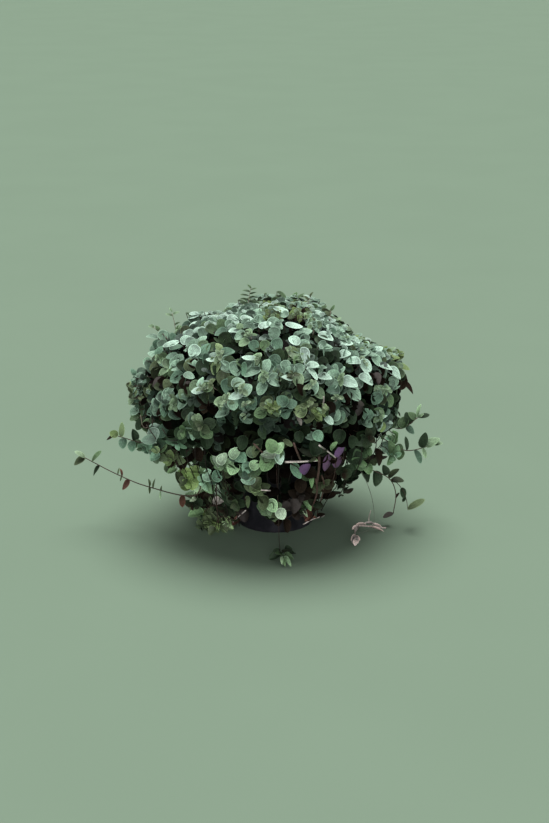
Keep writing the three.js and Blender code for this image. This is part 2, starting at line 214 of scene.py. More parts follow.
LEFT_LEAVES = (
    ("B", 157, 343, 60, 10, 7), ("B", 160, 352, 80, 12, 8), ("W", 171, 344, 20, 17, 6),
    ("B", 176, 347, 10, 14, 6), ("W", 186, 340, 45, 11, 9), ("W", 194, 351, 230, 13, 12),
    ("B", 205, 351, 65, 17, 10), ("M", 202, 341, 50, 13, 7), ("B", 172, 357, 180, 12, 7),
    ("M", 163, 362, 100, 9, 9), ("M", 154, 356, 150, 14, 8), ("M", 147, 362, 170, 9, 10),
    ("O", 156, 367, 200, 14, 9), ("F", 166, 371, 30, 14, 6), ("M", 176, 366, 190, 14, 11),
    ("O", 190, 365, 80, 13, 12), ("M", 196, 363, 70, 8, 7), ("M", 189, 376, 350, 11, 7),
    ("B", 177, 378, 200, 15, 12), ("D", 203, 368, 250, 15, 13), ("O", 168, 385, 120, 13, 11),
    ("P", 159, 384, 200, 13, 9), ("D", 182, 389, 300, 12, 10), ("M", 169, 395, 320, 14, 11),
    ("M", 160, 396, 80, 12, 6), ("M", 155, 403, 100, 10, 8), ("M", 167, 402, 10, 11, 5),
    ("M", 184, 403, 220, 16, 11), ("B", 183, 397, 170, 14, 8), ("F", 163, 406, 200, 9, 5),
    ("F", 174, 406, 210, 13, 6), ("B", 153, 412, 200, 13, 10), ("B", 166, 411, 250, 13, 9),
    ("B", 175, 415, 340, 13, 11), ("D", 191, 403, 280, 15, 9), ("N", 165, 417, 200, 12, 8),
    ("D", 188, 415, 300, 13, 12), ("G", 148, 425, 100, 14, 13), ("W", 155, 428, 40, 11, 7),
    ("B", 163, 432, 220, 16, 12), ("B", 149, 440, 180, 15, 10), ("O", 134, 394, 250, 11, 8),
    ("O", 148, 392, 290, 11, 9), ("W", 141, 381, 20, 6, 4), ("M", 138, 376, 160, 10, 6),
    ("B", 133, 372, 110, 8, 5), ("N", 140, 402, 230, 10, 8), ("M", 134, 412, 200, 10, 8),
    ("M", 132, 403, 170, 9, 6),
    ("B", 139, 408, 120, 11, 8), ("D", 145, 405, 60, 12, 9), ("B", 141, 417, 200, 12, 9),
    ("D", 147, 413, 250, 12, 10), ("O", 133, 396, 150, 9, 6), ("D", 140, 425, 230, 12, 9),
    ("G", 134, 419, 190, 9, 6),
    ("P", 189, 385, 20, 9, 6), ("M", 201, 383, 85, 12, 7), ("W", 198, 391, 185, 13, 7),
    ("G", 208, 387, 20, 11, 10), ("D", 208, 398, 300, 13, 12), ("N", 205, 407, 250, 13, 10),
    ("M", 190, 425, 180, 13, 9), ("C", 199, 420, 95, 13, 6), ("M", 194, 434, 240, 12, 8),
    ("G", 207, 433, 320, 13, 12), ("D", 214, 428, 330, 12, 9),
)
CENTRE_LEAVES = (
    ("Y", 219, 349, 100, 12, 8), ("W", 211, 360, 175, 10, 4), ("C", 219, 357, 60, 10, 5),
    ("Y", 216, 368, 240, 14, 9), ("M", 228, 362, 330, 14, 10), ("M", 235, 369, 300, 15, 11),
    ("B", 228, 354, 30, 14, 9), ("O", 223, 378, 260, 14, 13), ("B", 227, 388, 300, 17, 12),
    ("M", 238, 383, 20, 13, 9), ("C", 219, 402, 190, 10, 10), ("C", 227, 397, 70, 9, 7),
    ("M", 230, 406, 330, 11, 9), ("M", 222, 414, 200, 14, 8), ("M", 246, 390, 40, 14, 12),
    ("W", 236, 396, 200, 15, 8), ("M", 233, 404, 280, 12, 11), ("B", 244, 404, 280, 11, 11),
    ("B", 252, 404, 290, 10, 11), ("C", 243, 417, 250, 7, 6), ("D", 252, 415, 200, 11, 8),
    ("D", 236, 418, 250, 14, 9), ("B", 254, 346, 300, 11, 10), ("F", 244, 343, 200, 11, 8),
    ("G", 265, 346, 280, 11, 10), ("B", 277, 345, 300, 13, 11), ("B", 275, 362, 320, 14, 11),
    ("M", 286, 367, 310, 13, 10), ("Y", 291, 352, 140, 12, 9), ("M", 252, 372, 200, 17, 9),
    ("F", 257, 359, 60, 14, 8), ("W", 249, 358, 175, 14, 5), ("B", 244, 369, 260, 13, 6),
    ("M", 266, 366, 60, 14, 11), ("F", 262, 378, 100, 9, 8), ("M", 275, 381, 330, 15, 12),
    ("M", 262, 389, 230, 13, 10), ("D", 271, 394, 310, 13, 9), ("G", 297, 362, 100, 12, 9),
    ("M", 300, 370, 330, 13, 10), ("W", 287, 378, 165, 11, 5), ("C", 297, 381, 300, 14, 11),
    ("D", 291, 390, 280, 15, 13), ("D", 282, 385, 200, 10, 9), ("W", 294, 341, 150, 12, 9),
    ("M", 304, 345, 30, 12, 10), ("W", 304, 356, 280, 17, 9), ("F", 294, 358, 190, 13, 7),
    ("D", 314, 356, 250, 13, 10), ("W", 313, 366, 10, 12, 7), ("W", 312, 374, 315, 15, 5),
    ("D", 323, 364, 330, 13, 11), ("W", 325, 377, 350, 14, 7), ("M", 333, 375, 150, 12, 11),
    ("F", 339, 379, 60, 9, 9), ("M", 333, 385, 230, 12, 9), ("W", 350, 383, 350, 16, 11),
    ("M", 342, 371, 60, 10, 6), ("M", 313, 388, 60, 14, 12), ("B", 333, 392, 170, 13, 9),
    ("B", 338, 397, 330, 17, 8), ("M", 354, 394, 320, 17, 12), ("D", 303, 398, 200, 15, 9),
    ("B", 282, 401, 140, 12, 11), ("B", 292, 404, 20, 10, 9), ("G", 260, 413, 200, 12, 11),
    ("O", 264, 406, 150, 9, 8), ("L", 271, 410, 270, 8, 7), ("L", 275, 404, 60, 7, 5),
    ("F", 277, 413, 320, 10, 8), ("B", 284, 412, 300, 14, 11), ("Y", 300, 411, 160, 13, 12),
    ("O", 311, 404, 100, 14, 12), ("O", 309, 417, 240, 13, 11), ("Y", 322, 409, 60, 12, 10),
    ("L", 318, 417, 250, 8, 7), ("D", 323, 427, 300, 11, 11), ("B", 319, 437, 300, 10, 9),
    ("K", 297, 418, 300, 16, 4), ("K", 323, 403, 80, 14, 3), ("D", 263, 433, 270, 12, 8),
)
RIGHT_LEAVES = (
    ("W", 345, 342, 350, 16, 7), ("W", 345, 355, 20, 12, 8), ("D", 335, 357, 290, 13, 12),
    ("M", 364, 354, 30, 13, 8), ("W", 353, 363, 170, 14, 8), ("W", 365, 367, 310, 16, 11),
    ("W", 366, 380, 330, 16, 9), ("W", 378, 351, 40, 12, 8), ("M", 377, 361, 320, 13, 9),
    ("W", 386, 367, 340, 14, 6), ("W", 394, 374, 330, 16, 9), ("L", 390, 359, 10, 20, 7),
    ("L", 402, 367, 340, 16, 6), ("L", 385, 350, 60, 9, 5), ("N", 402, 383, 260, 14, 12),
    ("N", 408, 388, 310, 16, 5), ("N", 405, 377, 100, 8, 4), ("P", 376, 379, 300, 12, 8),
    ("D", 385, 379, 320, 12, 7), ("F", 379, 390, 150, 11, 10), ("F", 384, 394, 270, 7, 6),
    ("B", 377, 399, 230, 13, 11), ("G", 388, 401, 300, 13, 12), ("M", 395, 386, 30, 12, 9),
    ("D", 367, 388, 300, 12, 12), ("G", 378, 414, 60, 14, 13), ("B", 367, 414, 120, 12, 11),
    ("B", 386, 412, 20, 9, 8), ("W", 380, 418, 20, 15, 4), ("W", 388, 422, 350, 10, 4),
    ("M", 367, 424, 340, 12, 8), ("L", 381, 427, 280, 10, 9), ("M", 336, 415, 70, 12, 10),
    ("B", 341, 416, 300, 10, 9), ("W", 329, 421, 330, 10, 7), ("D", 345, 405, 170, 14, 9),
    ("P", 358, 404, 350, 12, 7), ("D", 351, 418, 300, 13, 11), ("M", 326, 347, 0, 13, 6),
    ("B", 348, 350, 350, 13, 5),
)
TIER_LEAVES = (
    ("G", 163, 447, 60, 12, 9), ("Y", 155, 450, 150, 9, 7), ("B", 155, 457, 200, 11, 9),
    ("O", 172, 456, 250, 12, 12), ("D", 185, 449, 280, 16, 13), ("N", 171, 463, 240, 12, 9),
    ("N", 182, 464, 280, 12, 12), ("G", 172, 471, 190, 10, 6), ("L", 186, 473, 115, 13, 9),
    ("L", 194, 471, 60, 13, 10), ("Y", 189, 475, 100, 9, 4), ("O", 183, 482, 230, 11, 9),
    ("L", 192, 484, 275, 13, 11), ("G", 204, 471, 20, 10, 7), ("M", 208, 475, 100, 13, 12),
    ("G", 209, 485, 280, 14, 13), ("B", 217, 476, 20, 11, 12), ("C", 200, 491, 200, 14, 9),
    ("C", 193, 500, 200, 7, 4), ("H", 217, 461, 115, 14, 9), ("H", 223, 459, 60, 13, 10),
    ("H", 235, 453, 60, 13, 10), ("F", 229, 461, 30, 8, 5), ("F", 233, 468, 250, 14, 13),
    ("B", 241, 457, 320, 12, 12), ("B", 247, 468, 250, 12, 11), ("F", 255, 465, 30, 11, 10),
    ("M", 248, 480, 170, 14, 11), ("O", 257, 483, 60, 13, 11), ("Y", 256, 490, 200, 11, 6),
    ("D", 226, 489, 260, 14, 11), ("D", 240, 487, 330, 12, 9), ("O", 248, 502, 270, 12, 5),
    ("G", 271, 446, 110, 14, 12), ("H", 268, 455, 170, 14, 9), ("F", 280, 448, 60, 12, 9),
    ("W", 279, 459, 300, 11, 9), ("G", 266, 464, 240, 15, 14), ("O", 257, 451, 230, 13, 8),
    ("C", 250, 454, 180, 6, 3), ("O", 288, 443, 330, 10, 5), ("D", 314, 448, 100, 15, 12),
    ("B", 318, 436, 300, 11, 10), ("B", 296, 471, 300, 17, 9), ("V", 306, 469, 60, 12, 9),
    ("G", 311, 481, 280, 14, 5), ("N", 300, 486, 280, 14, 12), ("V", 341, 450, 58, 17, 7),
    ("U", 328, 463, 245, 17, 8), ("U", 337, 462, 250, 12, 10), ("D", 355, 457, 310, 18, 16),
    ("O", 364, 453, 20, 17, 15), ("N", 378, 457, 285, 18, 8), ("G", 369, 469, 270, 11, 9),
    ("G", 334, 446, 60, 10, 4), ("N", 331, 477, 250, 14, 12), ("N", 329, 496, 15, 15, 7),
    ("D", 351, 479, 200, 16, 9), ("D", 350, 471, 340, 12, 8), ("G", 307, 505, 310, 14, 5),
    ("O", 264, 503, 250, 15, 11), ("F", 272, 506, 310, 14, 12), ("H", 281, 514, 300, 12, 11),
    ("O", 274, 518, 270, 8, 6), ("P", 294, 506, 280, 15, 11), ("C", 305, 513, 300, 10, 3),
    ("E", 308, 519, 215, 8, 2), ("E", 314, 517, 340, 7, 2), ("N", 321, 515, 20, 9, 4),
    ("N", 286, 526, 290, 14, 8), ("N", 279, 522, 240, 9, 6), ("O", 210, 514, 120, 14, 11),
    ("Y", 216, 523, 280, 15, 13), ("O", 224, 514, 60, 13, 10), ("O", 212, 531, 230, 10, 8),
    ("O", 224, 528, 300, 11, 9), ("Y", 230, 518, 90, 10, 6), ("C", 231, 525, 260, 10, 7),
    ("E", 238, 517, 40, 8, 2), ("P", 243, 513, 60, 6, 3), ("D", 232, 511, 60, 10, 7),
    ("G", 196, 514, 190, 16, 9), ("N", 203, 503, 200, 15, 12), ("K", 219, 501, 20, 12, 8),
    ("K", 211, 502, 90, 7, 3), ("D", 217, 508, 300, 11, 8), ("D", 206, 442, 280, 14, 12),
    ("N", 198, 455, 300, 14, 10), ("D", 243, 443, 250, 14, 11), ("D", 300, 437, 270, 11, 9),
    ("D", 340, 437, 250, 14, 12), ("D", 352, 442, 280, 12, 9),
)

# Young tips in the middle of the canopy's shoots: place in pixels, kind, length of their leaves in pixels
YOUNG_TIPS = (
    (220, 357, "C", 7), (242, 390, "C", 6), (226, 402, "C", 6), (258, 360, "C", 6), (265, 376, "F", 6),
    (293, 376, "O", 6), (272, 408, "L", 6), (307, 406, "Y", 6), (316, 415, "L", 6), (340, 379, "F", 6),
    (383, 390, "F", 7), (379, 416, "F", 6), (196, 422, "C", 6), (151, 426, "F", 7), (202, 389, "C", 5),
    (169, 395, "M", 6), (159, 361, "F", 6), (189, 351, "M", 6), (289, 353, "C", 6), (251, 337, "F", 6),
    (234, 327, "M", 5), (279, 325, "M", 6), (314, 329, "M", 5), (328, 334, "W", 5), (363, 362, "C", 6),
    (345, 340, "F", 5), (180, 332, "F", 5), (210, 326, "M", 5), (311, 386, "C", 6), (337, 399, "C", 5),
    (300, 358, "F", 5), (174, 405, "F", 6), (212, 384, "Y", 5), (246, 404, "C", 4), (322, 370, "M", 5),
)

# Leaves of stems seen on their own: kind, foot on the stem in pixels, then as above
LONG_LEFT_LEAVES = (
    ("C", 86, 454, 145, 12, 4), ("O", 87, 455, 212, 13, 7), ("G", 96, 458, 51, 14, 5),
    ("D", 103, 463, 239, 12, 4), ("O", 118, 472, 80, 7, 2), ("O", 121, 474, 250, 5, 2),
    ("E", 123, 475, 100, 8, 2), ("E", 132, 477, 235, 12, 6), ("O", 149, 485, 92, 8, 2),
    ("O", 150, 486, 275, 7, 2), ("O", 155, 486, 80, 10, 2), ("C", 163, 487, 265, 9, 2),
    ("O", 163, 487, 85, 5, 2), ("E", 181, 491, 275, 12, 6),
)
UPPER_LEFT_LEAVES = (
    ("Y", 122, 439, 88, 15, 7), ("L", 118, 438, 155, 9, 8), ("D", 135, 442, 92, 12, 7),
    ("B", 126, 440, 250, 11, 9), ("B", 134, 442, 255, 11, 9), ("N", 115, 438, 215, 9, 3),
    ("G", 141, 445, 200, 10, 8), ("B", 146, 446, 280, 11, 9), ("D", 152, 444, 240, 12, 8),
)
UPPER_RIGHT_LEAVES = (
    ("B", 394, 424, 125, 12, 9), ("D", 398, 428, 100, 13, 9), ("G", 403, 428, 70, 13, 10),
    ("D", 409, 424, 98, 13, 10), ("G", 413, 420, 130, 10, 7), ("D", 416, 418, 15, 12, 5),
    ("F", 417, 417, 80, 14, 3), ("F", 416, 410, 35, 7, 3), ("B", 405, 428, 320, 11, 7),
)
FAR_RIGHT_LEAVES = (
    ("M", 386, 441, 250, 12, 9), ("G", 391, 445, 60, 10, 9), ("G", 396, 447, 320, 11, 9),
    ("B", 392, 446, 270, 14, 9), ("G", 401, 449, 250, 11, 9), ("D", 407, 449, 92, 14, 5),
    ("B", 412, 448, 300, 15, 7), ("D", 420, 447, 78, 16, 8), ("C", 422, 447, 290, 11, 5),
    ("F", 427, 446, 32, 16, 8), ("F", 434, 445, 12, 9, 5),
)
LOW_RIGHT_LEAVES = (
    ("D", 357, 470, 220, 18, 11), ("D", 364, 467, 290, 18, 9), ("D", 374, 471, 280, 16, 11),
    ("O", 391, 478, 42, 14, 5), ("O", 391, 479, 2, 13, 6), ("D", 383, 476, 100, 11, 8),
    ("P", 394, 513, 200, 11, 6), ("N", 398, 500, 60, 7, 2),
)
FORKED_END = ((391, 479), (397, 483), (402, 489), (406, 498), (408, 510))
FORKED_END_LEAVES = (("D", 402, 489, 285, 11, 7), ("Y", 407, 510, 33, 20, 6), ("D", 405, 497, 240, 6, 3))

# Bunches of the hanging stems: middle in pixels, kinds outside and inside, leaves, their length in pixels,
# how far they stand out, and a share of their brightness that paints light and shade on them
CLUSTERS = (
    (212, 517, "LY", 7, 17, 0.008, 1.0), (222, 525, "OY", 6, 15, 0.008, 1.5),
    (230, 519, "YC", 6, 10, 0.008, 1.6), (200, 508, "DO", 6, 13, 0.0, 0.8),
    (208, 499, "ND", 7, 14, 0.006, 0.8), (219, 503, "DO", 7, 14, 0.006, 0.7),
    (228, 508, "DN", 7, 13, 0.004, 0.7), (196, 501, "DN", 6, 13, 0.002, 0.8),
    (206, 524, "OD", 6, 12, 0.002, 0.8), (236, 500, "DO", 6, 13, 0.004, 0.6),
    (190, 477, "LL", 7, 14, 0.006, 1.2), (208, 480, "GM", 6, 14, 0.004, 1.0),
    (172, 456, "OL", 7, 13, 0.004, 0.8), (184, 455, "OD", 6, 15, 0.0, 0.7),
    (158, 452, "OB", 7, 13, 0.002, 0.7), (224, 462, "GF", 6, 13, 0.0, 0.5),
    (248, 468, "GB", 6, 13, 0.0, 0.4), (273, 454, "GF", 7, 14, 0.0, 0.5),
    (257, 486, "OY", 6, 13, -0.002, 0.5), (270, 506, "GF", 6, 12, -0.002, 0.5),
    (296, 508, "PN", 6, 13, -0.004, 0.5), (233, 494, "DN", 6, 13, -0.006, 0.5),
    (300, 492, "NP", 6, 13, -0.006, 0.4), (322, 482, "NO", 6, 13, -0.002, 0.7),
    (314, 500, "ND", 6, 13, -0.002, 0.6), (340, 470, "DN", 7, 14, 0.0, 0.8),
    (356, 458, "DG", 7, 15, 0.0, 0.9), (186, 428, "DG", 6, 14, 0.004, 0.8),
    (178, 437, "DB", 6, 14, 0.0, 0.8), (204, 426, "DO", 6, 13, 0.0, 0.7),
    (314, 450, "DO", 6, 14, -0.002, 0.6), (364, 446, "DG", 6, 13, 0.0, 0.7),
    (390, 454, "GB", 6, 12, 0.002, 0.75), (396, 435, "GB", 6, 11, 0.0, 0.8),
    (366, 436, "DN", 6, 13, -0.004, 0.8), (147, 444, "BD", 5, 12, 0.002, 0.8),
    (160, 444, "DB", 6, 13, 0.0, 0.8), (168, 446, "OD", 6, 13, 0.0, 0.7),
)
PINKISH = (0.78, 0.68, 0.65)
REDDISH = (0.11, 0.065, 0.055)
BARE_STEMS = (
    (PINKISH, 0.0016, ((287, 462), (302, 461.5), (317, 460.5))),
    (PINKISH, 0.0013, ((320, 446), (327, 451), (335, 457))),
    (REDDISH, 0.0020, ((319, 456), (319, 468), (317, 482))),
    (REDDISH, 0.0016, ((294, 444), (297, 452), (300, 459))),
    (REDDISH, 0.0014, ((316, 480), (317, 492), (312, 508))),
    (REDDISH, 0.0012, ((322, 476), (324, 484), (321, 500))),
    (REDDISH, 0.0012, ((262, 452), (258, 448), (254, 444))),
    (PINKISH, 0.0009, ((304, 524), (311, 520), (323, 516))),
    (PINKISH, 0.0010, ((261, 490), (268, 490.5), (277, 491))),
    (PINKISH, 0.0009, ((233, 522), (238, 517), (245, 511))),
)

# Hanging shoots that fill the flanks: node, whether it hangs on the outer ring, azimuth, reach, height and
# radius of the tip
FLANKS = (
    ("upper_left_stem", True, 178, 0.156, 0.112, 0.146),
    ("upper_left_stem", True, 186, 0.160, 0.116, 0.150),
    ("middle_left_stem", True, 194, 0.160, 0.106, 0.150),
    ("middle_left_stem", True, 201, 0.158, 0.098, 0.146),
    ("middle_left_stem", True, 208, 0.156, 0.096, 0.142),
    ("long_left_stem", True, 215, 0.152, 0.092, 0.138),
    ("long_left_stem", True, 222, 0.150, 0.090, 0.136),
    ("long_left_stem", True, 229, 0.148, 0.086, 0.132),
    ("low_left_stem", False, 214, 0.120, 0.044, 0.106),
    ("low_left_stem", False, 221, 0.118, 0.030, 0.104),
    ("low_left_stem", False, 229, 0.112, 0.018, 0.098),
    ("low_left_stem", False, 237, 0.108, 0.020, 0.094),
    ("upper_right_stem", True, 2, 0.156, 0.116, 0.146),
    ("upper_right_stem", True, 10, 0.154, 0.108, 0.144),
    ("far_right_stem", True, 354, 0.158, 0.112, 0.148),
    ("far_right_stem", True, 347, 0.158, 0.106, 0.146),
    ("low_right_stem", True, 339, 0.154, 0.100, 0.140),
    ("low_right_stem", True, 332, 0.152, 0.096, 0.138),
    ("low_right_stem", False, 344, 0.118, 0.074, 0.112),
    ("low_right_stem", False, 334, 0.114, 0.056, 0.104),
    ("purple_stem", False, 308, 0.106, 0.030, 0.088),
)

# The photograph's outline of the foliage in pixels, round from the lower left over the top, and the point
# from which its directions are taken
OUTLINE_MIDDLE = (272, 420)
OUTLINE = (
    (206, 532), (188, 516), (178, 488), (162, 468), (148, 458), (140, 436), (127, 408), (129, 386),
    (130, 371), (146, 356), (152, 334), (170, 328), (189, 313), (219, 309), (242, 299), (262, 294),
    (288, 293), (312, 296), (330, 310), (347, 327), (364, 338), (383, 347), (401, 352), (409, 366),
    (403, 384), (401, 402), (404, 418), (400, 438), (386, 460), (358, 484), (336, 500), (322, 518),
)

# Where the photograph looks into the dark between the shoots: the middle and half the width, in pixels
CAVITIES = (
    (170, 352, 3), (188, 355, 3), (203, 375, 5), (217, 390, 5), (232, 349, 5), (244, 348, 5), (244, 377, 6),
    (255, 390, 6), (293, 317, 4), (286, 335, 5), (259, 336, 4), (355, 368, 4), (368, 358, 4), (366, 399, 5),
    (346, 376, 3), (240, 432, 7), (255, 433, 7), (270, 438, 7), (285, 432, 7), (296, 438, 6), (332, 434, 6),
    (344, 434, 7), (356, 430, 6), (200, 450, 7), (207, 460, 6), (232, 445, 6), (264, 483, 8), (276, 480, 8),
    (284, 476, 7), (280, 492, 6), (290, 486, 6), (240, 500, 6), (205, 421, 4), (222, 424, 5), (178, 425, 3),
    (262, 425, 5), (300, 427, 4), (196, 408, 4), (176, 387, 3), (236, 410, 3),
)

# Where it looks right through the hanging stems
GAPS = ((347, 471, 6), (376, 445, 6), (388, 439, 4), (323, 489, 4))

# Leaves made by rule stay out of the dark and the gaps, and out of sight near the outline: depths in metres,
# margins in pixels, and the share of a leaf's length at which that is tested
CAVITY_DEPTH = 0.016
CAVITY_MARGIN = 5
GAP_MARGIN = 3
OUTLINE_MARGIN = 7
TUCK_MARGIN = 7
TUCK_STEP = 0.002
TUCK_ROOM = 0.003
TESTED_SHARE = 0.6

# Leaves seen edge-on along the top: kinds and width of each row, the part of the outline that has them, and
# in pixels how far apart they are, how far in the first row lies and how far below it the next
SLIVERS = (("WMFMG", 3.6), ("WMWMB", 4.6), ("MWBM", 5.6))
SLIVER_STRETCH = slice(12, 23)
SLIVER_GAP = 4.6
SLIVER_INSET = 3.5
SLIVER_DROP = 5
SLIVER_INSET_PLAY = 4
SLIVER_LENGTH = (11, 4)
SLIVER_TURN = 80
SLIVER_SHADE = (0.95, 0.3)
SLIVER_FORWARD = 0.001
SLIVER_STALK = (0.02,)

# Near the top of the outline, leaves made by rule stay only where their upper face shows
SKYLINE_FOOT = 400
SKYLINE_MARGIN = 12
SKYLINE_FACING = 0.15
SKYLINE_DEPTH = 0.03

# Leaves made by rule keep this far, in pixels, from the middle of those seen under the canopy, unless they
# lie this far behind the surface, in metres
TIER_CLEAR = 9
TIER_BEHIND = 0.004
TIER_MIDDLES = np.array([row[1:3] for row in TIER_LEAVES] + [row[:2] for row in CLUSTERS])

# Thin shoots that stand out of the canopy: their course in pixels and their leaves by the foot
SPROUTS = (
    (((248, 308), (249, 298), (251, 288)),
     (("G", 249, 304, 172, 9, 2), ("G", 249, 300, 170, 9, 2), ("G", 249, 296, 168, 9, 2),
      ("G", 250, 292, 165, 8, 2), ("G", 249, 302, 12, 8, 2), ("G", 249, 298, 14, 8, 2),
      ("G", 250, 294, 16, 7, 2), ("G", 251, 290, 20, 6, 2), ("G", 251, 289, 130, 6, 2))),
    (((176, 330), (174, 321), (172, 313)),
     (("F", 173, 316, 165, 8, 3), ("F", 173, 314, 20, 7, 3), ("F", 172, 312, 120, 5, 2),
      ("G", 175, 325, 30, 6, 2))),
    (((163, 334), (158, 331), (153, 327)),
     (("G", 158, 331, 110, 6, 4), ("F", 154, 328, 160, 6, 4), ("G", 161, 333, 250, 6, 3))),
    (((308, 305), (309, 300), (311, 296)), (("O", 309, 300, 140, 6, 3), ("O", 310, 297, 60, 6, 2))),
    (((330, 322), (330, 316), (331, 310)), (("O", 330, 316, 130, 7, 4), ("G", 331, 311, 60, 7, 3))),
)

# Patches of tiny leaves: their box in pixels, how many, and the kinds
PATCHES = (
    ((259, 299, 281, 319), 60, "LLOFOG"),
    ((291, 302, 309, 319), 46, "YOOCNL"),
    ((303, 316, 316, 330), 14, "MFOG"),
    ((352, 335, 372, 350), 14, "LOFG"),
    ((383, 352, 402, 366), 14, "LLOF"),
    ((129, 378, 151, 404), 34, "YOBCMD"),
    ((268, 402, 280, 414), 6, "LFY"),
    ((314, 408, 326, 420), 6, "LFY"),
)


def unit(v):
    return v / np.linalg.norm(v)


def around(azimuth, radius, height):
    """A place by its azimuth in degrees, its distance from the middle and its height."""
    a = math.radians(azimuth)
    return np.array((radius * math.cos(a), radius * math.sin(a), height))


def blend(first, second, share):
    return (1 - share) * first + share * second


# Steps in which the foliage's surface is looked for and its slope is taken, and how far before and behind
# the middle it may lie
DEPTH_REACH = 0.26
DEPTH_STEP = 0.004
SLOPE_STEP = 0.004


def camera_axes():
    """To the right and up in the picture, and towards the camera."""
    tilt = math.radians(CAMERA_ELEVATION)
    upward = np.array((0.0, math.sin(tilt), math.cos(tilt)))
    towards = np.array((0.0, -math.cos(tilt), math.sin(tilt)))
    return np.array((1.0, 0.0, 0.0)), upward, towards


RIGHTWARD, UPWARD, TOWARDS = camera_axes()
CAMERA_DISTANCE = FRAME_HEIGHT * CAMERA_LENS / SENSOR
CAMERA_PLACE = np.array(CAMERA_TARGET) + CAMERA_DISTANCE * TOWARDS
FRONT_LIGHT = around(-90, math.cos(math.radians(FILL_ELEVATION)), math.sin(math.radians(FILL_ELEVATION)))
TOP_LIGHT = around(90, math.sin(math.radians(SUN_LEAN)), math.cos(math.radians(SUN_LEAN)))


def ray(x, y):
    """From the camera through a point of the photograph; its length is 1 along the camera's axis."""
    scale = SENSOR / CAMERA_LENS / PHOTO_HEIGHT
    return (x - PHOTO_WIDTH / 2) * scale * RIGHTWARD + (PHOTO_HEIGHT / 2 - y) * scale * UPWARD - TOWARDS


def pixel_of(place):
    """Where a place is in the photograph."""
    away = place - CAMERA_PLACE
    scale = PHOTO_HEIGHT * CAMERA_LENS / SENSOR / -away.dot(TOWARDS)
    x = PHOTO_WIDTH / 2 + away.dot(RIGHTWARD) * scale
    return np.array((x, PHOTO_HEIGHT / 2 - away.dot(UPWARD) * scale))


def at_depth(x, y, depth):
    """What a point of the photograph shows at a distance from the camera, along its axis."""
    return CAMERA_PLACE + ray(x, y) * depth


def at_height(x, y, height):
    """What a point of the photograph shows at a height over the floor."""
    way = ray(x, y)
    return CAMERA_PLACE + way * (height - CAMERA_PLACE[2]) / way[2]


def depth_of(place):
    """How far a place is from the camera, along its axis."""
    return -(place - CAMERA_PLACE).dot(TOWARDS)


def swell(azimuth, polar):
    """How far the canopy swells in a direction, as a share of its radius."""
    a, p = math.radians(azimuth), math.radians(polar)
    total = 1.0
    for lobe_azimuth, lobe_polar, rise, spread in LOBES:
        q = math.radians(lobe_polar)
        turn = a - math.radians(lobe_azimuth)
        apart = math.cos(p) * math.cos(q) + math.sin(p) * math.sin(q) * math.cos(turn)
        total += rise * math.exp((apart - 1) / (1 - math.cos(math.radians(spread))))
    return total


def canopy_point(azimuth, polar, depth=0.0):
    """A point of the canopy's surface, or at a depth under it."""
    p, grow = math.radians(polar), swell(azimuth, polar)
    radius = (CANOPY_RADIUS - depth) * math.sin(p) * grow
    return around(azimuth, radius, CANOPY_CENTRE + (CANOPY_RISE - depth) * math.cos(p) * grow)


def tucked_point(azimuth, polar, depth):
    """A point of the canopy, deeper where it would show outside the photograph's outline."""
    place = canopy_point(azimuth, polar, depth)
    while depth < CORE_DEPTH - TUCK_ROOM and not in_outline(*pixel_of(place), TUCK_MARGIN):
        depth += TUCK_STEP
        place = canopy_point(azimuth, polar, depth)
    return place


def canopy_normal(azimuth, polar):
    """Where the canopy's surface faces."""
    below = canopy_point(azimuth, polar + 1) - canopy_point(azimuth, polar - 1)
    return unit(np.cross(below, around(azimuth + 90, 1, 0)))


def polar_of_share(share):
    """The angle from the top that has a share of the canopy's surface above it."""
    p = np.radians(np.linspace(0, CANOPY_EDGE, 400))
    areas = np.cumsum(np.sin(p) * np.hypot(CANOPY_RADIUS * np.cos(p), CANOPY_RISE * np.sin(p)))
    return math.degrees(np.interp(share * areas[-1], areas, p))


def cone_outness(place):
    """Over 1 outside the cone of hanging leaves."""
    return math.hypot(place[0], place[1]) / (TIER_FOOT + TIER_SLOPE * max(0.0, place[2]))


def outness(place):
    """Over 1 outside the foliage, which is the canopy's dome and the cone of hanging leaves under it."""
    across = math.hypot(place[0], place[1])
    height = place[2] - CANOPY_CENTRE
    polar = math.degrees(math.atan2(across / CANOPY_RADIUS, height / CANOPY_RISE))
    if polar > CANOPY_EDGE:
        return cone_outness(place)
    azimuth = math.degrees(math.atan2(place[1], place[0]))
    return math.hypot(across / CANOPY_RADIUS, height / CANOPY_RISE) / swell(azimuth, polar)


def outward(place):
    """The direction in which the foliage's surface faces near a place."""
    slope = [outness(place + SLOPE_STEP * axis) - outness(place - SLOPE_STEP * axis) for axis in np.eye(3)]
    return unit(np.array(slope))


def seen_depth(x, y):
    """How far from the camera a point of the photograph meets the foliage, or comes nearest to it."""
    way = ray(x, y)
    depths = np.arange(CAMERA_DISTANCE - DEPTH_REACH, CAMERA_DISTANCE + DEPTH_REACH, DEPTH_STEP)
    values = []
    for depth in depths:
        values.append(outness(CAMERA_PLACE + way * depth))
        if values[-1] < 1:
            break
    if values[-1] >= 1:
        if y > TIER_TOP:
            values = [cone_outness(CAMERA_PLACE + way * depth) for depth in depths]
        return depths[int(np.argmin(values))]
    before, after = values[-2], values[-1]
    return depths[len(values) - 2] + DEPTH_STEP * (before - 1) / (before - after)


def direction_seen(x, y):
    """Where a point of the photograph lies from the foliage's middle: degrees from below, and pixels."""
    across, upwards = x - OUTLINE_MIDDLE[0], OUTLINE_MIDDLE[1] - y
    return (math.degrees(math.atan2(upwards, across)) + 90) % 360, math.hypot(across, upwards)


OUTLINE_TURNS, OUTLINE_REACHES = np.array(sorted(direction_seen(x, y) for x, y in OUTLINE)).T


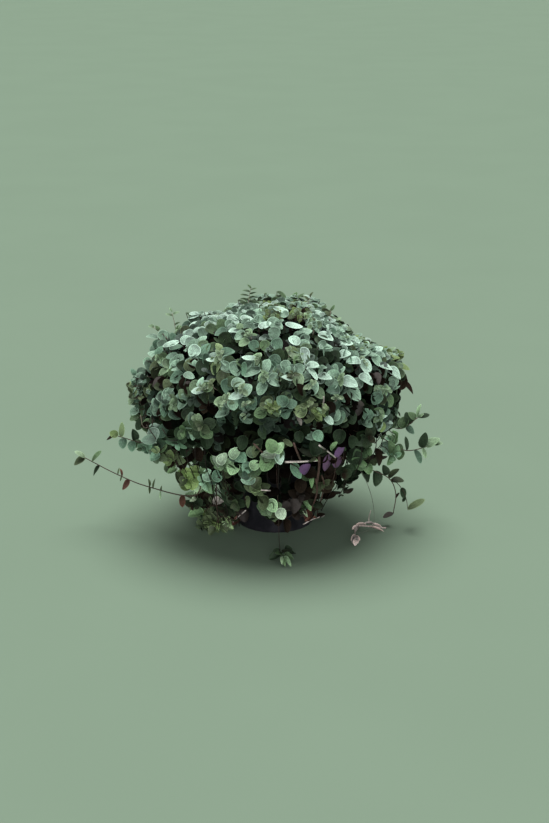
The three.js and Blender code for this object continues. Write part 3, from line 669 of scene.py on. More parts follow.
def in_outline(x, y, margin=0):
    """Whether a point of the photograph lies inside the foliage's outline, by a margin in pixels."""
    turn, reach = direction_seen(x, y)
    return reach + margin < np.interp(turn, OUTLINE_TURNS, OUTLINE_REACHES)


def in_any(spots, x, y, margin=0):
    """Whether a point of the photograph lies in one of some round spots, or within a margin of it."""
    return any(math.hypot(x - cx, y - cy) < half + margin for cx, cy, half in spots)


def stays(base, along, up, length):
    """Whether a leaf made by rule keeps inside the outline and out of what looks dark or open."""
    x, y = pixel_of(base + along * length)
    if not in_outline(x, y):
        return False
    depth = depth_of(base)
    if y < SKYLINE_FOOT and up.dot(TOWARDS) < SKYLINE_FACING and not in_outline(x, y, SKYLINE_MARGIN):
        if depth < seen_depth(x, y) + SKYLINE_DEPTH:
            return False
    x, y = pixel_of(base + along * TESTED_SHARE * length)
    if in_any(GAPS, x, y, GAP_MARGIN):
        return False
    apart = np.abs(TIER_MIDDLES - (x, y)).max(axis=1).min()
    if apart < TIER_CLEAR and depth < seen_depth(x, y) + TIER_BEHIND:
        return False
    return not (in_any(CAVITIES, x, y) and depth < seen_depth(x, y) + CAVITY_DEPTH)


def lengths_along(line):
    """How far along a line each of its points lies."""
    return np.concatenate(((0,), np.cumsum(np.linalg.norm(np.diff(line, axis=0), axis=1))))


def on_line(line, lengths, wanted):
    """The places on a line at wanted lengths along it."""
    return np.stack([np.interp(wanted, lengths, line[:, k]) for k in range(3)], axis=-1)


def smooth_curve(points, step):
    """Evenly spaced points, about a step apart, on a centripetal curve through the given ones."""
    p = np.array(points, float)
    p = np.vstack((2 * p[0] - p[1], p, 2 * p[-1] - p[-2]))
    line = []
    for a, b, c, d in zip(p, p[1:], p[2:], p[3:]):
        t1 = math.sqrt(np.linalg.norm(b - a))
        t2 = t1 + math.sqrt(np.linalg.norm(c - b))
        t3 = t2 + math.sqrt(np.linalg.norm(d - c))
        for t in np.linspace(t1, t2, CURVE_STEPS, endpoint=False):
            ab = a + (b - a) * t / t1
            bc = b + (c - b) * (t - t1) / (t2 - t1)
            cd = c + (d - c) * (t - t2) / (t3 - t2)
            abc = ab + (bc - ab) * t / t2
            bcd = bc + (cd - bc) * (t - t1) / (t3 - t1)
            line.append(abc + (bcd - abc) * (t - t1) / (t2 - t1))
    line.append(p[-2])
    line = np.array(line)
    lengths = lengths_along(line)
    count = max(3, round(lengths[-1] / step) + 1)
    return on_line(line, lengths, np.linspace(0, lengths[-1], count))


def leaf_template():
    """Points of a flat leaf of length and width 1, how near the rim and on which face, and its faces."""
    right = [(u, -v) for u, v in LEAF_EDGE]
    left = [(u, v) for u, v in reversed(LEAF_EDGE)]
    rim = np.array([(0, 0), *right, (1, 0), *left], float)
    centre = np.array(((LEAF_CENTRE, 0.0),))
    n = len(rim)
    flat, edge, side = [rim], [np.ones(n)], [np.zeros(n)]
    above, below = [], []

    def inwards(rings, face, triangles):
        outer = 0
        for share in rings:
            inner = sum(len(part) for part in flat)
            flat.append(centre + (rim - centre) * share)
            edge.append(np.full(n, share))
            side.append(np.full(n, face))
            for i in range(n):
                j = (i + 1) % n
                triangles += [(outer + i, outer + j, inner + j), (outer + i, inner + j, inner + i)]
            outer = inner
        middle = sum(len(part) for part in flat)
        flat.append(centre)
        edge.append(np.zeros(1))
        side.append(np.full(1, face))
        triangles += [(outer + i, outer + (i + 1) % n, middle) for i in range(n)]

    inwards(UPPER_RINGS, 1.0, above)
    inwards((UNDER_RING,), -1.0, below)
    below = np.array(below)[:, ::-1]
    return np.vstack(flat), np.concatenate(edge), np.concatenate(side), np.array(above), below, n


FLAT, EDGE, SIDE, ABOVE, BELOW, RIM_COUNT = leaf_template()


def painted(kind, face, open_sky):
    """The colour of a leaf that looks like its kind when it faces a direction under a share of the light."""
    light = SUN / math.pi * max(0.0, face.dot(TOP_LIGHT)) * open_sky + ROOM_SHARE * SKY * open_sky
    light += FILL / math.pi * max(0.0, face.dot(FRONT_LIGHT))
    colour = TINTS[kind] / max(LEAST_LIGHT * open_sky, light)
    return colour * min(1.0, BRIGHTEST / colour.max())


def linked(name, data):
    """A new object of some data, in the scene."""
    made = bpy.data.objects.new(name, data)
    bpy.context.scene.collection.objects.link(made)
    return made


class Foliage:
    """Leaves and stems that become one mesh."""

    def __init__(self, name, seed):
        self.name = name
        self.random = np.random.RandomState(seed)
        self.leaves = []
        self.tubes = []

    def play(self, width):
        """A random value in a width about zero."""
        return width * (self.random.rand() - 0.5)

    def about(self, middle, width):
        return middle + self.play(width)

    def pick(self, kinds):
        return kinds[self.random.randint(len(kinds))]

    def leaf(
        self, base, heading, face, length, tint, width=LEAF_WIDTH, cup=CUP, droop=DROOP, blush=BLUSH,
        curl=1.0, ruled=True,
    ):
        """A leaf from its base towards its tip; one made by rule is left out where it can't stay."""
        along = unit(heading)
        up = unit(face - along * face.dot(along))
        if ruled and not stays(base, along, up, length):
            return
        fold = curl * (CREASE + CREASE_PLAY * self.random.rand() ** 2)
        bend = curl * (droop + MORE_DROOP + self.play(DROOP_PLAY))
        rise = curl * (cup + self.play(CUP_PLAY))
        shape = (length, width * length, rise, bend, self.play(2 * math.pi), fold)
        self.leaves.append((base, along, np.cross(up, along), up, shape, tint, blush))

    def seen_leaf(self, row, middle=None, base=None, open_sky=1.0, shade=1.0):
        """A leaf that looks to the camera as its row says, from its middle or its base."""
        kind, _, _, angle, length, width = row
        a = math.radians(angle)
        along = math.cos(a) * RIGHTWARD + math.sin(a) * UPWARD
        across = -math.sin(a) * RIGHTWARD + math.cos(a) * UPWARD
        narrow = min(LEAF_WIDTH, max(NARROWEST, WIDENING * width / length))
        true = max(length, width / narrow)
        hidden = kind in SHOWS_UNDERSIDE
        if true > length:
            tilt, turn = math.acos(length / true), along
        else:
            tilt, turn = math.acos(min(1.0, width / (narrow * true))), across
        faces = [math.cos(tilt) * TOWARDS + hand * math.sin(tilt) * turn for hand in (-1, 1)]
        face = min(faces, key=lambda f: f[2]) if hidden else max(faces, key=lambda f: f[2])
        heading = unit(along - face * along.dot(face))
        size = true * PIXEL
        if base is None:
            base = middle - heading * size / 2
        tint = np.minimum(PALEST, shade * painted(kind, face, open_sky) * (1 + self.play(TINT_PLAY)))
        if hidden:
            tint = tint / UNDER_SHADE
            face = -face
        curl = 1.0 if width > SLIM * length else SLIM_CURL
        blush = 0 if hidden else BLUSH
        self.leaf(base, heading, face, size, tint, narrow, blush=blush, curl=curl, ruled=False)
        return base

    def stem(self, points, radius, tint, taper=0.6, step=0.012):
        """A stem on a curve through some points; gives back its line."""
        line = smooth_curve(points, step)
        self.tubes.append((line, radius, taper, tint))
        return line

    def stalk(self, base, inward, lengths, radius=STALK_RADIUS, step=0.01):
        """A leaf's thin stem, from its base into the foliage."""
        self.stem([base, *(base + length * inward for length in lengths)], radius, DARK_STEM, 1, step)

    def leaf_arrays(self):
        """Of all the leaves' points: their places, tint, blush, and where on the leaf they are."""
        base, along, side, up = (np.array([row[k] for row in self.leaves])[:, None] for k in range(4))
        length, width, cup, droop, phase, fold = np.array([row[4] for row in self.leaves]).T[:, :, None]
        u, v = FLAT[:, 0], FLAT[:, 1]
        angle = np.arctan2(v, u - LEAF_CENTRE)
        rise = cup * (CUP_ACROSS * (2 * v) ** 2 + CUP_ALONG * (2 * u - 1) ** 2) + fold * np.abs(v)
        rise = rise - droop * u**2 + RIM_WAVE * EDGE**2 * np.sin(2 * angle + phase)
        lift = length * rise + SIDE * LEAF_THICKNESS / 2
        points = base + along * (length * u)[..., None] + side * (width * v)[..., None]
        points = points + up * lift[..., None]
        lowest = FLOOR_GAP + (SIDE + 1) * LEAF_THICKNESS / 2
        points[..., 2] = np.maximum(points[..., 2], lowest)
        tint = np.repeat(np.array([row[5] for row in self.leaves]), len(FLAT), axis=0)
        blush = np.repeat(np.array([row[6] for row in self.leaves], float), len(FLAT))
        place = np.tile(np.column_stack((u, v, EDGE)), (len(self.leaves), 1))
        return points.reshape(-1, 3), tint, blush, place

    def build(self, materials):
        """The mesh of all the leaves and stems: leaves' upper faces, their undersides, then the stems."""
        points, tint, blush, place = self.leaf_arrays()
        shift = (np.arange(len(self.leaves)) * len(FLAT))[:, None, None]
        faces = [(ABOVE + shift).reshape(-1, 3), (BELOW + shift).reshape(-1, 3)]
        kinds = [np.zeros(len(faces[0])), np.ones(len(faces[1]))]
        points, tints, blushes, places = [points], [tint], [blush], [place]
        leaf_points = start = len(tint)
        for line, radius, taper, tint in self.tubes:
            p, f = tube(line, radius, taper)
            points.append(p)
            faces.append(f + start)
            kinds.append(np.full(len(f), 2))
            tints.append(np.tile(tint, (len(p), 1)))
            blushes.append(np.zeros(len(p)))
            places.append(np.zeros((len(p), 3)))
            start += len(p)
        mesh = bpy.data.meshes.new(self.name)
        mesh.from_pydata(np.vstack(points), [], np.vstack(faces), shade_flat=False)
        mesh.polygons.foreach_set("material_index", np.concatenate(kinds).astype(np.int32))
        tint = mesh.attributes.new("tint", "FLOAT_COLOR", "POINT")
        tint.data.foreach_set("color", np.column_stack((np.vstack(tints), np.ones(start))).ravel())
        mesh.attributes.new("blush", "FLOAT", "POINT").data.foreach_set("value", np.concatenate(blushes))
        leaf = mesh.attributes.new("leaf", "FLOAT_VECTOR", "POINT")
        leaf.data.foreach_set("vector", np.vstack(places).ravel())
        ends = np.zeros(2 * len(mesh.edges), np.int32)
        mesh.edges.foreach_get("vertices", ends)
        ends = ends.reshape(-1, 2)
        sharp = ((ends < leaf_points) & (ends % len(FLAT) < RIM_COUNT)).all(axis=1)
        mesh.attributes.new("sharp_edge", "BOOLEAN", "EDGE").data.foreach_set("value", sharp)
        for material in materials:
            mesh.materials.append(material)
        piece = linked(self.name, mesh)
        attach(piece, "root")
        return piece


def tube(line, radius, taper):
    """A closed tube along a line of points, its far end narrower by the taper."""
    ahead = np.gradient(line, axis=0)
    ahead /= np.linalg.norm(ahead, axis=1)[:, None]
    across = np.cross(ahead[0], TUBE_OBLIQUE)
    points = []
    for i, (centre, direction) in enumerate(zip(line, ahead)):
        across = unit(across - direction * across.dot(direction))
        beside = np.cross(direction, across)
        r = radius * (1 - (1 - taper) * i / (len(line) - 1))
        for k in range(TUBE_SIDES):
            a = 2 * math.pi * k / TUBE_SIDES
            points.append(centre + r * (math.cos(a) * across + math.sin(a) * beside))
    faces = []
    last = (len(line) - 1) * TUBE_SIDES
    for i in range(0, last, TUBE_SIDES):
        for k in range(TUBE_SIDES):
            m = (k + 1) % TUBE_SIDES
            faces += [(i + k, i + m, i + TUBE_SIDES + m), (i + k, i + TUBE_SIDES + m, i + TUBE_SIDES + k)]
    for k in range(1, TUBE_SIDES - 1):
        faces += [(0, k + 1, k), (last, last + k, last + k + 1)]
    points = np.array(points)
    points[:, 2] = np.maximum(points[:, 2], FLOOR_GAP)
    return points, np.array(faces)


# The light on a leaf in the open
OPEN_LIGHT = 1.2


def shown(kind):
    """The colour of a leaf of a kind that lies in the open."""
    return TINTS[kind] / OPEN_LIGHT


# How the leaves of one shoot differ in length and in tint
SIZE_PLAY = 0.16
SHADE_PLAY = 0.3

# A shoot seen from its tip: how its pairs of leaves turn on and how steeply the first stands, and how much
# steeper the last, in degrees, how their length shrinks, how long the axis is and how far from it they
# stand, and how narrow and cupped the last are
ROSETTE_DRIFT = (18, 16)
ROSETTE_TURN_PLAY = 26
ROSETTE_LIFT = (-4, 56)
ROSETTE_LIFT_PLAY = 18
ROSETTE_SHRINK = (1.05, 0.6)
ROSETTE_STALK = 0.010
ROSETTE_AXIS_RADIUS = 0.0006
ROSETTE_NARROWING = 0.12
ROSETTE_CUP = 0.1

# A creeping shoot: how far it goes ahead and rises from the cushion, how its leaves spread from it in
# degrees, how far they rise, how they lean to the light and at random, how their length shrinks, and how
# far apart they are
CREEP_AHEAD = 0.9
CREEP_LIFT = (0.35, 0.4)
CREEP_SPREAD = (62, 34)
CREEP_SPREAD_PLAY = 26
CREEP_RISE = (0.1, 0.36)
CREEP_TO_LIGHT = 0.7
CREEP_LEAN = 0.25
CREEP_SHRINK = (1.04, 0.5)
CREEP_STEP = 0.0048


def rosette(
    foliage, foot, axis, size, count, tint, tip_tint, stalk=ROSETTE_STALK, width=LEAF_WIDTH, ruled=True
):
    """A shoot seen from its tip: leaves in two ranks that turn slowly, smaller and steeper to the middle."""
    axis = unit(axis)
    first = unit(np.cross(axis, ROSETTE_OBLIQUE))
    second = np.cross(axis, first)
    turn = foliage.random.rand() * 2 * math.pi
    drift = math.radians(foliage.about(*ROSETTE_DRIFT)) * (1 if foliage.random.rand() < 0.5 else -1)
    least, more = ROSETTE_LIFT
    for j in range(count):
        share = j / (count - 1)
        turn += math.pi + drift + math.radians(foliage.play(ROSETTE_TURN_PLAY))
        out = math.cos(turn) * first + math.sin(turn) * second
        lift = math.radians(least + more * share**1.5 + foliage.play(ROSETTE_LIFT_PLAY))
        heading = math.cos(lift) * out + math.sin(lift) * axis
        face = math.cos(lift) * axis - math.sin(lift) * out
        length = size * shrunk(ROSETTE_SHRINK, share) * foliage.about(1, SIZE_PLAY)
        colour = blend(tint, tip_tint, share**1.6) * foliage.about(1, SHADE_PLAY)
        base = foot + axis * stalk * share + out * ROSETTE_AXIS_RADIUS
        narrow = width - ROSETTE_NARROWING * share
        cup = ROSETTE_CUP + ROSETTE_CUP * share
        foliage.leaf(base, heading, face, length, colour, narrow, cup, ruled=ruled)


def shrunk(shrink, share):
    """The length of a leaf at a share of its shoot, as a share of the shoot's leaf size."""
    whole, loss = shrink
    return whole - loss * share**1.3


def creeping_shoot(foliage, foot, normal, flow, size, count, tint, tip_tint):
    """A shoot that creeps over the canopy, its leaves like shingles in two ranks, faces to the light."""
    side = np.cross(normal, flow)
    axis = unit(CREEP_AHEAD * flow + foliage.about(*CREEP_LIFT) * normal)
    hand = 1
    widest, less = CREEP_SPREAD
    for j in range(count):
        share = j / (count - 1)
        hand = -hand
        spread = math.radians(widest - less * share + foliage.play(CREEP_SPREAD_PLAY))
        heading = math.cos(spread) * flow + hand * math.sin(spread) * side
        heading = heading + foliage.about(*CREEP_RISE) * normal
        face = normal + CREEP_TO_LIGHT * UP + CREEP_LEAN * foliage.random.randn(3)
        length = size * shrunk(CREEP_SHRINK, share) * foliage.about(1, SIZE_PLAY)
        colour = blend(tint, tip_tint, share**2) * foliage.about(1, SHADE_PLAY)
        foliage.leaf(foot + axis * CREEP_STEP * j, heading, face, length, colour)


# The kinds of leaf that grow beside a kind
BESIDE = {
    "W": "WMM", "M": "MBMF", "B": "BGM", "G": "GDO", "F": "FGM", "H": "FG", "L": "LG", "Y": "YGO",
    "C": "CFM", "O": "OD", "D": "DN", "N": "ND", "P": "PN", "U": "N", "V": "N", "K": "N", "R": "N",
}

# Those behind a leaf: how bright, darkened as painted shade, how far they turn from it in degrees, how far
# off they lie as a share of its length, less upwards, their length in pixels and their width as a share of
# that
COMPANION_PAINTED_SHADES = (0.6, 0.2)
COMPANION_TURN = (110, 80)
COMPANION_REACH = (0.6, 0.2)
COMPANION_RISE = 0.85
COMPANION_LENGTH = (12.5, 3)
COMPANION_WIDTH = (0.72, 0.36)
COMPANION_ANGLE_PLAY = 70

# Leaves high in the photograph are brighter by a share, painted light from above, and those behind them by
# more, less painted shade: where that starts and how far it rises, in pixels
HIGH_FOOT = 396
HIGH_SPAN = 50
HIGH_PAINTED_LIGHT = 0.3
HIGH_BEHIND = 1.4

# Leaves between the shoots are darkened as painted shade, less where the photograph doesn't look
BACK_FACING = -0.1
BACK_SHADE = 0.7

# How often each kind of leaf comes low and high on the canopy, and where high starts and ends, in metres;
# the whiter kinds high up and on the right are partly painted light, the darker ones low down partly painted
# shade
LOW_MIX = "BBGGGDDDOOFMN"
HIGH_MIX = "WWMMMMBBFGM"
MIX_FOOT = 0.17
MIX_SPAN = 0.13
MIX_PLAY = 0.5
RIGHT_PAINTED_LIGHT = 0.5

# Rule-made shoots: how deep they and their roots stand, how many leaves they have, how they differ in size
# and place, how they fall or stand up, what kinds their tips are, the painted shade of those behind the
# leaves seen one by one, a few of them lighter, then single leaves between them and deeper ones, with
# painted shade too; what height adds comes second, as less painted shade higher up
SHOOT_DEPTH = (0.015, 0.010)
BEHIND_DEPTH = (0.017, 0.010)
SHOOT_ROOTS = (0.026, 0.008)
SHOOT_LEAVES = (5, 8)
SHOOT_PLAY = 0.22
SHOOT_SHIFT = (8, 6)
SHOOT_FALL = 1.3
UPRIGHT_FLOW = 0.3
UPRIGHT_LIFT = 0.4
TIP_KINDS = "LFFYC"
TIP_SHARE = 0.6
UPRIGHT_SHARE = 0.35
BEHIND_FACING = 0.3
NEAR_SEEN = 5
LIGHTER_SHADE = 0.55
LIGHTER_CHANCE = (0.1, 0.2)
BEHIND_SHADE = (0.14, 0.06)
FILLER_DEPTH = (0.010, 0.006)
FILLER_SHADE = (0.19, 0.23)
FILLER_KINDS = "DGBDPN"
FILLER_FALL = 0.7
FILLER_RISE = 0.2
FILLER_LEAN = 0.35
FILLER_SIZE = (0.9, 0.3)
FILLER_SHADE_PLAY = 0.8
FILLER_SHIFT = 0.37
LEAST_POLAR = 0.5
DEEP_DEPTH = (0.019, 0.012)
DEEP_SHADE = (0.08, 0.06)
DEEP_KINDS = "NDN"
HEIGHT_FOOT = 0.2
HEIGHT_SPAN = 0.11


def highness(place):
    """From 0 low on the canopy to 1 near its top."""
    return min(1.0, max(0.0, (place[2] - HEIGHT_FOOT) / HEIGHT_SPAN))


def mixed_kind(foliage, place):
    """A kind of leaf for a place on the canopy: whiter high up and on the right, darker low down."""
    # Whiter up high and on the right, darker low down, partly as painted light and shade
    height = (place[2] - MIX_FOOT) / MIX_SPAN + RIGHT_PAINTED_LIGHT * place[0] + foliage.play(MIX_PLAY)
    return foliage.pick(HIGH_MIX if foliage.random.rand() < height else LOW_MIX)


def canopy_shoot(foliage, azimuth, polar, upright, behind):
    """One rule-made shoot of the canopy, deeper and darker where it is behind the leaves seen one by one."""
    normal = canopy_normal(azimuth, polar)
    foot = tucked_point(azimuth, polar, foliage.about(*(BEHIND_DEPTH if behind else SHOOT_DEPTH)))
    high = highness(foot)
    tint = shown(mixed_kind(foliage, foot))
    # Behind the leaves seen one by one the tint is darkened as painted shade, a few of them lighter
    if behind:
        lighter = foliage.random.rand() < LIGHTER_CHANCE[0] + LIGHTER_CHANCE[1] * high
        tint = tint * (LIGHTER_SHADE if lighter else BEHIND_SHADE[0] + BEHIND_SHADE[1] * high)
    tip = tint if behind else blend(tint, shown(foliage.pick(TIP_KINDS)), TIP_SHARE)
    size = LEAF_SIZE * foliage.about(1, SHOOT_PLAY)
    flow = foliage.random.randn(3) - SHOOT_FALL * UP
    flow = unit(flow - normal * flow.dot(normal))
    root = [foot - normal * depth for depth in SHOOT_ROOTS]
    foliage.stem([*root, foot], TWIG_RADIUS, DARK_STEM, step=0.013)
    count = foliage.random.randint(*SHOOT_LEAVES)
    if upright:
        axis = normal + UPRIGHT_FLOW * flow + UPRIGHT_LIFT * UP
        rosette(foliage, foot, axis, size, count, tint, tip)
    else:
        creeping_shoot(foliage, foot, normal, flow, size, count, tint, tip)


def piece_at(pieces, azimuth):
    return pieces[int(azimuth % 360 // (360 / CANOPY_PIECES))]


def canopy_piece(pieces, place):
    return piece_at(pieces, math.degrees(math.atan2(place[1], place[0])))


def companions(foliage, row, count):
    """Leaves that look out from behind one seen in the photograph."""
    kind, x, y, angle, length, _ = row
    kinds = BESIDE.get(kind, kind)
    rows = []
    for i in range(count):
        turn = math.radians(angle + foliage.about(*COMPANION_TURN) * (1 if i % 2 else -1))
        apart = length * foliage.about(*COMPANION_REACH)
        there = (x + apart * math.cos(turn), y - COMPANION_RISE * apart * math.sin(turn))
        size = foliage.about(*COMPANION_LENGTH)
        wide = size * foliage.about(*COMPANION_WIDTH)
        beside = foliage.pick(kinds)
        if in_outline(*there, OUTLINE_MARGIN) and not in_any(CAVITIES + GAPS, *there, CAVITY_MARGIN):
            points_to = math.degrees(turn) + foliage.play(COMPANION_ANGLE_PLAY)
            rows.append((beside, *there, points_to, size, wide))
    return rows


# Leaves of the canopy's front: how their depth varies, the lengths of their stalks, and the depths and
# stalks of those behind them
DEPTH_PLAY = 0.003
SEEN_STALK = (0.010, 0.026)
SEEN_STALK_RADIUS = 0.0006
COMPANION_DEPTHS = (0.005, 0.003)
COMPANION_STALK = (0.012,)

# Shoots and tufts seen in the canopy: how far before the surface young tips and tiny leaves lie, how deep
# their stems reach, how the tips are leafed, and the tiny leaves' length in pixels, width and stalk
ROOT_DEPTH = 0.03
TIP_FORWARD = 0.003
TIP_LIFT = 0.7
TIP_TOWARDS = 0.5
TIP_STRAIGHT = 0.01
TIP_SHADE = 0.85
TIP_SHARES = (0.75, 1.1)
TIP_GROWTH = 1.2
TIP_LEAVES = 6
TIP_STALK = 0.006
TIP_WIDTH = 0.68
PATCH_FORWARD = 0.002
PATCH_LENGTH = (6.5, 3)
PATCH_WIDTH = (0.62, 0.3)
PATCH_STALK = (0.012,)
PATCH_STALK_RADIUS = 0.0004


def photographed_leaves(pieces, rows):
    """Leaves of the canopy's front, each on a thin stem into the cushion, with others behind it."""
    for row in rows:
        kind, x, y = row[:3]
        depth = seen_depth(x, y)
        surface = at_depth(x, y, depth)
        inward = -outward(surface)
        foliage = canopy_piece(pieces, surface)
        middle = at_depth(x, y, depth + DEEPER.get(kind, USUAL_DEPTH) + foliage.play(DEPTH_PLAY))
        # High up the leaves get painted light, and those behind them less painted shade
        high = min(1.0, max(0.0, (HIGH_FOOT - y) / HIGH_SPAN))
        base = foliage.seen_leaf(row, middle, shade=1 + HIGH_PAINTED_LIGHT * high)
        foliage.stalk(base, inward, SEEN_STALK, SEEN_STALK_RADIUS, 0.013)
        for i, other in enumerate(companions(foliage, row, 2)):
            nearest, more = COMPANION_DEPTHS
            place = at_depth(other[1], other[2], seen_depth(other[1], other[2]) + nearest + more * i)
            shade = COMPANION_PAINTED_SHADES[i] * (1 + HIGH_BEHIND * HIGH_PAINTED_LIGHT * high)
            foliage.stalk(foliage.seen_leaf(other, place, shade=shade), inward, COMPANION_STALK)


def slivers(pieces):
    """Rows of leaves seen nearly edge-on along the top of the cushion."""
    corners = np.array([(x, y, 0.0) for x, y in OUTLINE[SLIVER_STRETCH]])
    dice = pieces[0]
    for k, (kinds, width) in enumerate(SLIVERS):
        for x, y, _ in smooth_curve(corners, SLIVER_GAP):
            inset = SLIVER_INSET + SLIVER_DROP * k + dice.play(SLIVER_INSET_PLAY)
            away = np.array((OUTLINE_MIDDLE[0] - x, OUTLINE_MIDDLE[1] - y))
            x, y = np.array((x, y)) + inset * away / np.linalg.norm(away)
            place = at_depth(x, y, seen_depth(x, y) - SLIVER_FORWARD)
            foliage = canopy_piece(pieces, place)
            angle = foliage.play(SLIVER_TURN) + (180 if foliage.random.rand() < 0.5 else 0)
            length = foliage.about(*SLIVER_LENGTH)
            kind = foliage.pick(kinds)
            row = (kind, x, y, angle, length, width * foliage.about(1, 0.5))
            base = foliage.seen_leaf(row, place, shade=foliage.about(*SLIVER_SHADE))
            foliage.stalk(base, -outward(place), SLIVER_STALK)


def young_tips(pieces):
    """Small pale rosettes that look up and forward."""
    for x, y, kind, length in YOUNG_TIPS:
        depth = seen_depth(x, y)
        surface = at_depth(x, y, depth)
        foliage = canopy_piece(pieces, surface)
        foot = at_depth(x, y, depth - TIP_FORWARD)
        axis = unit(outward(surface) + TIP_LIFT * UP + TIP_TOWARDS * TOWARDS)
        root = foot - ROOT_DEPTH * outward(surface)
        foliage.stem([root, foot - TIP_STRAIGHT * axis, foot], TWIG_RADIUS, PALE_STEM, 0.8, 0.01)
        low, high = (share * TINTS[kind] * TIP_SHADE for share in TIP_SHARES)
        size = TIP_GROWTH * length * PIXEL
        rosette(foliage, foot, axis, size, TIP_LEAVES, low, high, TIP_STALK, TIP_WIDTH)


def sprouts(pieces):
    """Thin shoots that stand out of the canopy."""
    for course, rows in SPROUTS:
        depth = seen_depth(*course[0])
        line = [at_depth(x, y, depth) for x, y in course]
        foliage = canopy_piece(pieces, line[0])
        root = line[0] - ROOT_DEPTH * outward(line[0])
        foliage.stem([root, *line], TWIG_RADIUS, PALE_STEM, 0.5, 0.006)
        for row in rows:
            foliage.seen_leaf(row, base=at_depth(row[1], row[2], depth))


def patches(pieces):
    """Tufts of tiny leaves."""
    dice = pieces[0]
    for box, count, kinds in PATCHES:
        for i in range(count):
            x = box[0] + (box[2] - box[0]) * dice.random.rand()
            y = box[1] + (box[3] - box[1]) * dice.random.rand()
            place = at_depth(x, y, seen_depth(x, y) - PATCH_FORWARD)
            foliage = canopy_piece(pieces, place)
            length = foliage.about(*PATCH_LENGTH)
            angle = foliage.play(360)
            row = (kinds[i % len(kinds)], x, y, angle, length, length * foliage.about(*PATCH_WIDTH))
            foliage.stalk(foliage.seen_leaf(row, place), -outward(place), PATCH_STALK, PATCH_STALK_RADIUS)


def canopy_shoots(pieces, rows):
    """Rule-made shoots all round the canopy, evenly spread."""
    middles = np.array([row[1:3] for row in rows])
    for i in range(SHOOTS):
        azimuth = (GOLDEN * i) % 360
        polar = polar_of_share((i + 0.5) / SHOOTS)
        foliage = piece_at(pieces, azimuth)
        azimuth += foliage.play(SHOOT_SHIFT[0])
        polar = max(LEAST_POLAR, polar + foliage.play(SHOOT_SHIFT[1]))
        place = canopy_point(azimuth, polar)
        facing = canopy_normal(azimuth, polar).dot(TOWARDS)
        apart = np.linalg.norm(middles - pixel_of(place), axis=1).min()
        upright = foliage.random.rand() < UPRIGHT_SHARE
        behind = facing > BEHIND_FACING or (facing > 0 and apart < NEAR_SEEN)
        canopy_shoot(foliage, azimuth, polar, upright, behind)


def canopy_fillers(pieces):
    """Single leaves between the shoots, then deeper and darker ones, darkened as painted shade."""
    for i in range(FILLER_LEAVES + DEEP_LEAVES):
        deep = i >= FILLER_LEAVES
        share = (i - FILLER_LEAVES) / DEEP_LEAVES if deep else i / FILLER_LEAVES
        azimuth = (GOLDEN * (i + FILLER_SHIFT)) % 360
        polar = max(LEAST_POLAR, polar_of_share(share))
        foliage = piece_at(pieces, azimuth)
        normal = canopy_normal(azimuth, polar)
        base = tucked_point(azimuth, polar, foliage.about(*(DEEP_DEPTH if deep else FILLER_DEPTH)))
        flow = foliage.random.randn(3) - FILLER_FALL * UP
        heading = unit(flow - normal * flow.dot(normal)) + FILLER_RISE * normal
        face = unit(normal + FILLER_LEAN * foliage.random.randn(3))
        kinds = DEEP_KINDS if deep else FILLER_KINDS
        least, more = DEEP_SHADE if deep else FILLER_SHADE
        shade = least + more * highness(base)
        if not deep and normal.dot(TOWARDS) < BACK_FACING:
            shade = BACK_SHADE
        tint = shown(kinds[i % len(kinds)]) * shade * foliage.about(1, FILLER_SHADE_PLAY)
        foliage.leaf(base, heading, face, LEAF_SIZE * foliage.about(*FILLER_SIZE), tint)


def make_canopy(materials):
    """The cushion's leaves, in pieces of an equal share of the azimuth each."""
    pieces = [Foliage(f"canopy_leaves_{k + 1}", 100 + k) for k in range(CANOPY_PIECES)]
    rows = TOP_LEAVES + LEFT_LEAVES + CENTRE_LEAVES + RIGHT_LEAVES
    photographed_leaves(pieces, rows)
    slivers(pieces)
    young_tips(pieces)
    sprouts(pieces)
    patches(pieces)
    canopy_shoots(pieces, rows)
    canopy_fillers(pieces)
    for foliage in pieces:
        piece = foliage.build(materials)
        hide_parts("canopy")


# The tangle inside the canopy, darkened to near-black as painted shade: radius and height of its underside
# from the middle, its sides, the steps from its edge to its top, and how it varies as a share
CORE_UNDERSIDE = ((0.0, 0.13), (0.07, 0.125), (0.1, 0.13), (0.13, 0.15))
CORE_SIDES = 60
CORE_STEPS = 14
CORE_PLAY = 0.04


def core_points():
    """Rings of points round the tangle, then the middle of its underside and its top."""
    profile = list(CORE_UNDERSIDE)
    for i in range(CORE_STEPS + 1):
        p = math.radians(CANOPY_EDGE - CANOPY_EDGE * i / CORE_STEPS)
        height = CANOPY_CENTRE + (CANOPY_RISE - CORE_DEPTH) * math.cos(p)
        profile.append(((CANOPY_RADIUS - CORE_DEPTH) * math.sin(p), height))
    angles = np.linspace(0, 2 * math.pi, CORE_SIDES, endpoint=False)
    points = [(r * math.cos(a), r * math.sin(a), z) for r, z in profile[1:-1] for a in angles]
    points = np.array(points + [(0, 0, profile[0][1]), (0, 0, profile[-1][1])])
    random = np.random.RandomState(5)
    for place in points:
        across = math.hypot(place[0], place[1])
        azimuth = math.degrees(math.atan2(place[1], place[0]))
        height = place[2] - CANOPY_CENTRE
        polar = math.degrees(math.atan2(across / CANOPY_RADIUS, height / CANOPY_RISE))
        grow = swell(azimuth, polar) + CORE_PLAY * (random.rand() - 0.5)
        place[:2] *= grow
        place[2] = CANOPY_CENTRE + height * grow
    return points


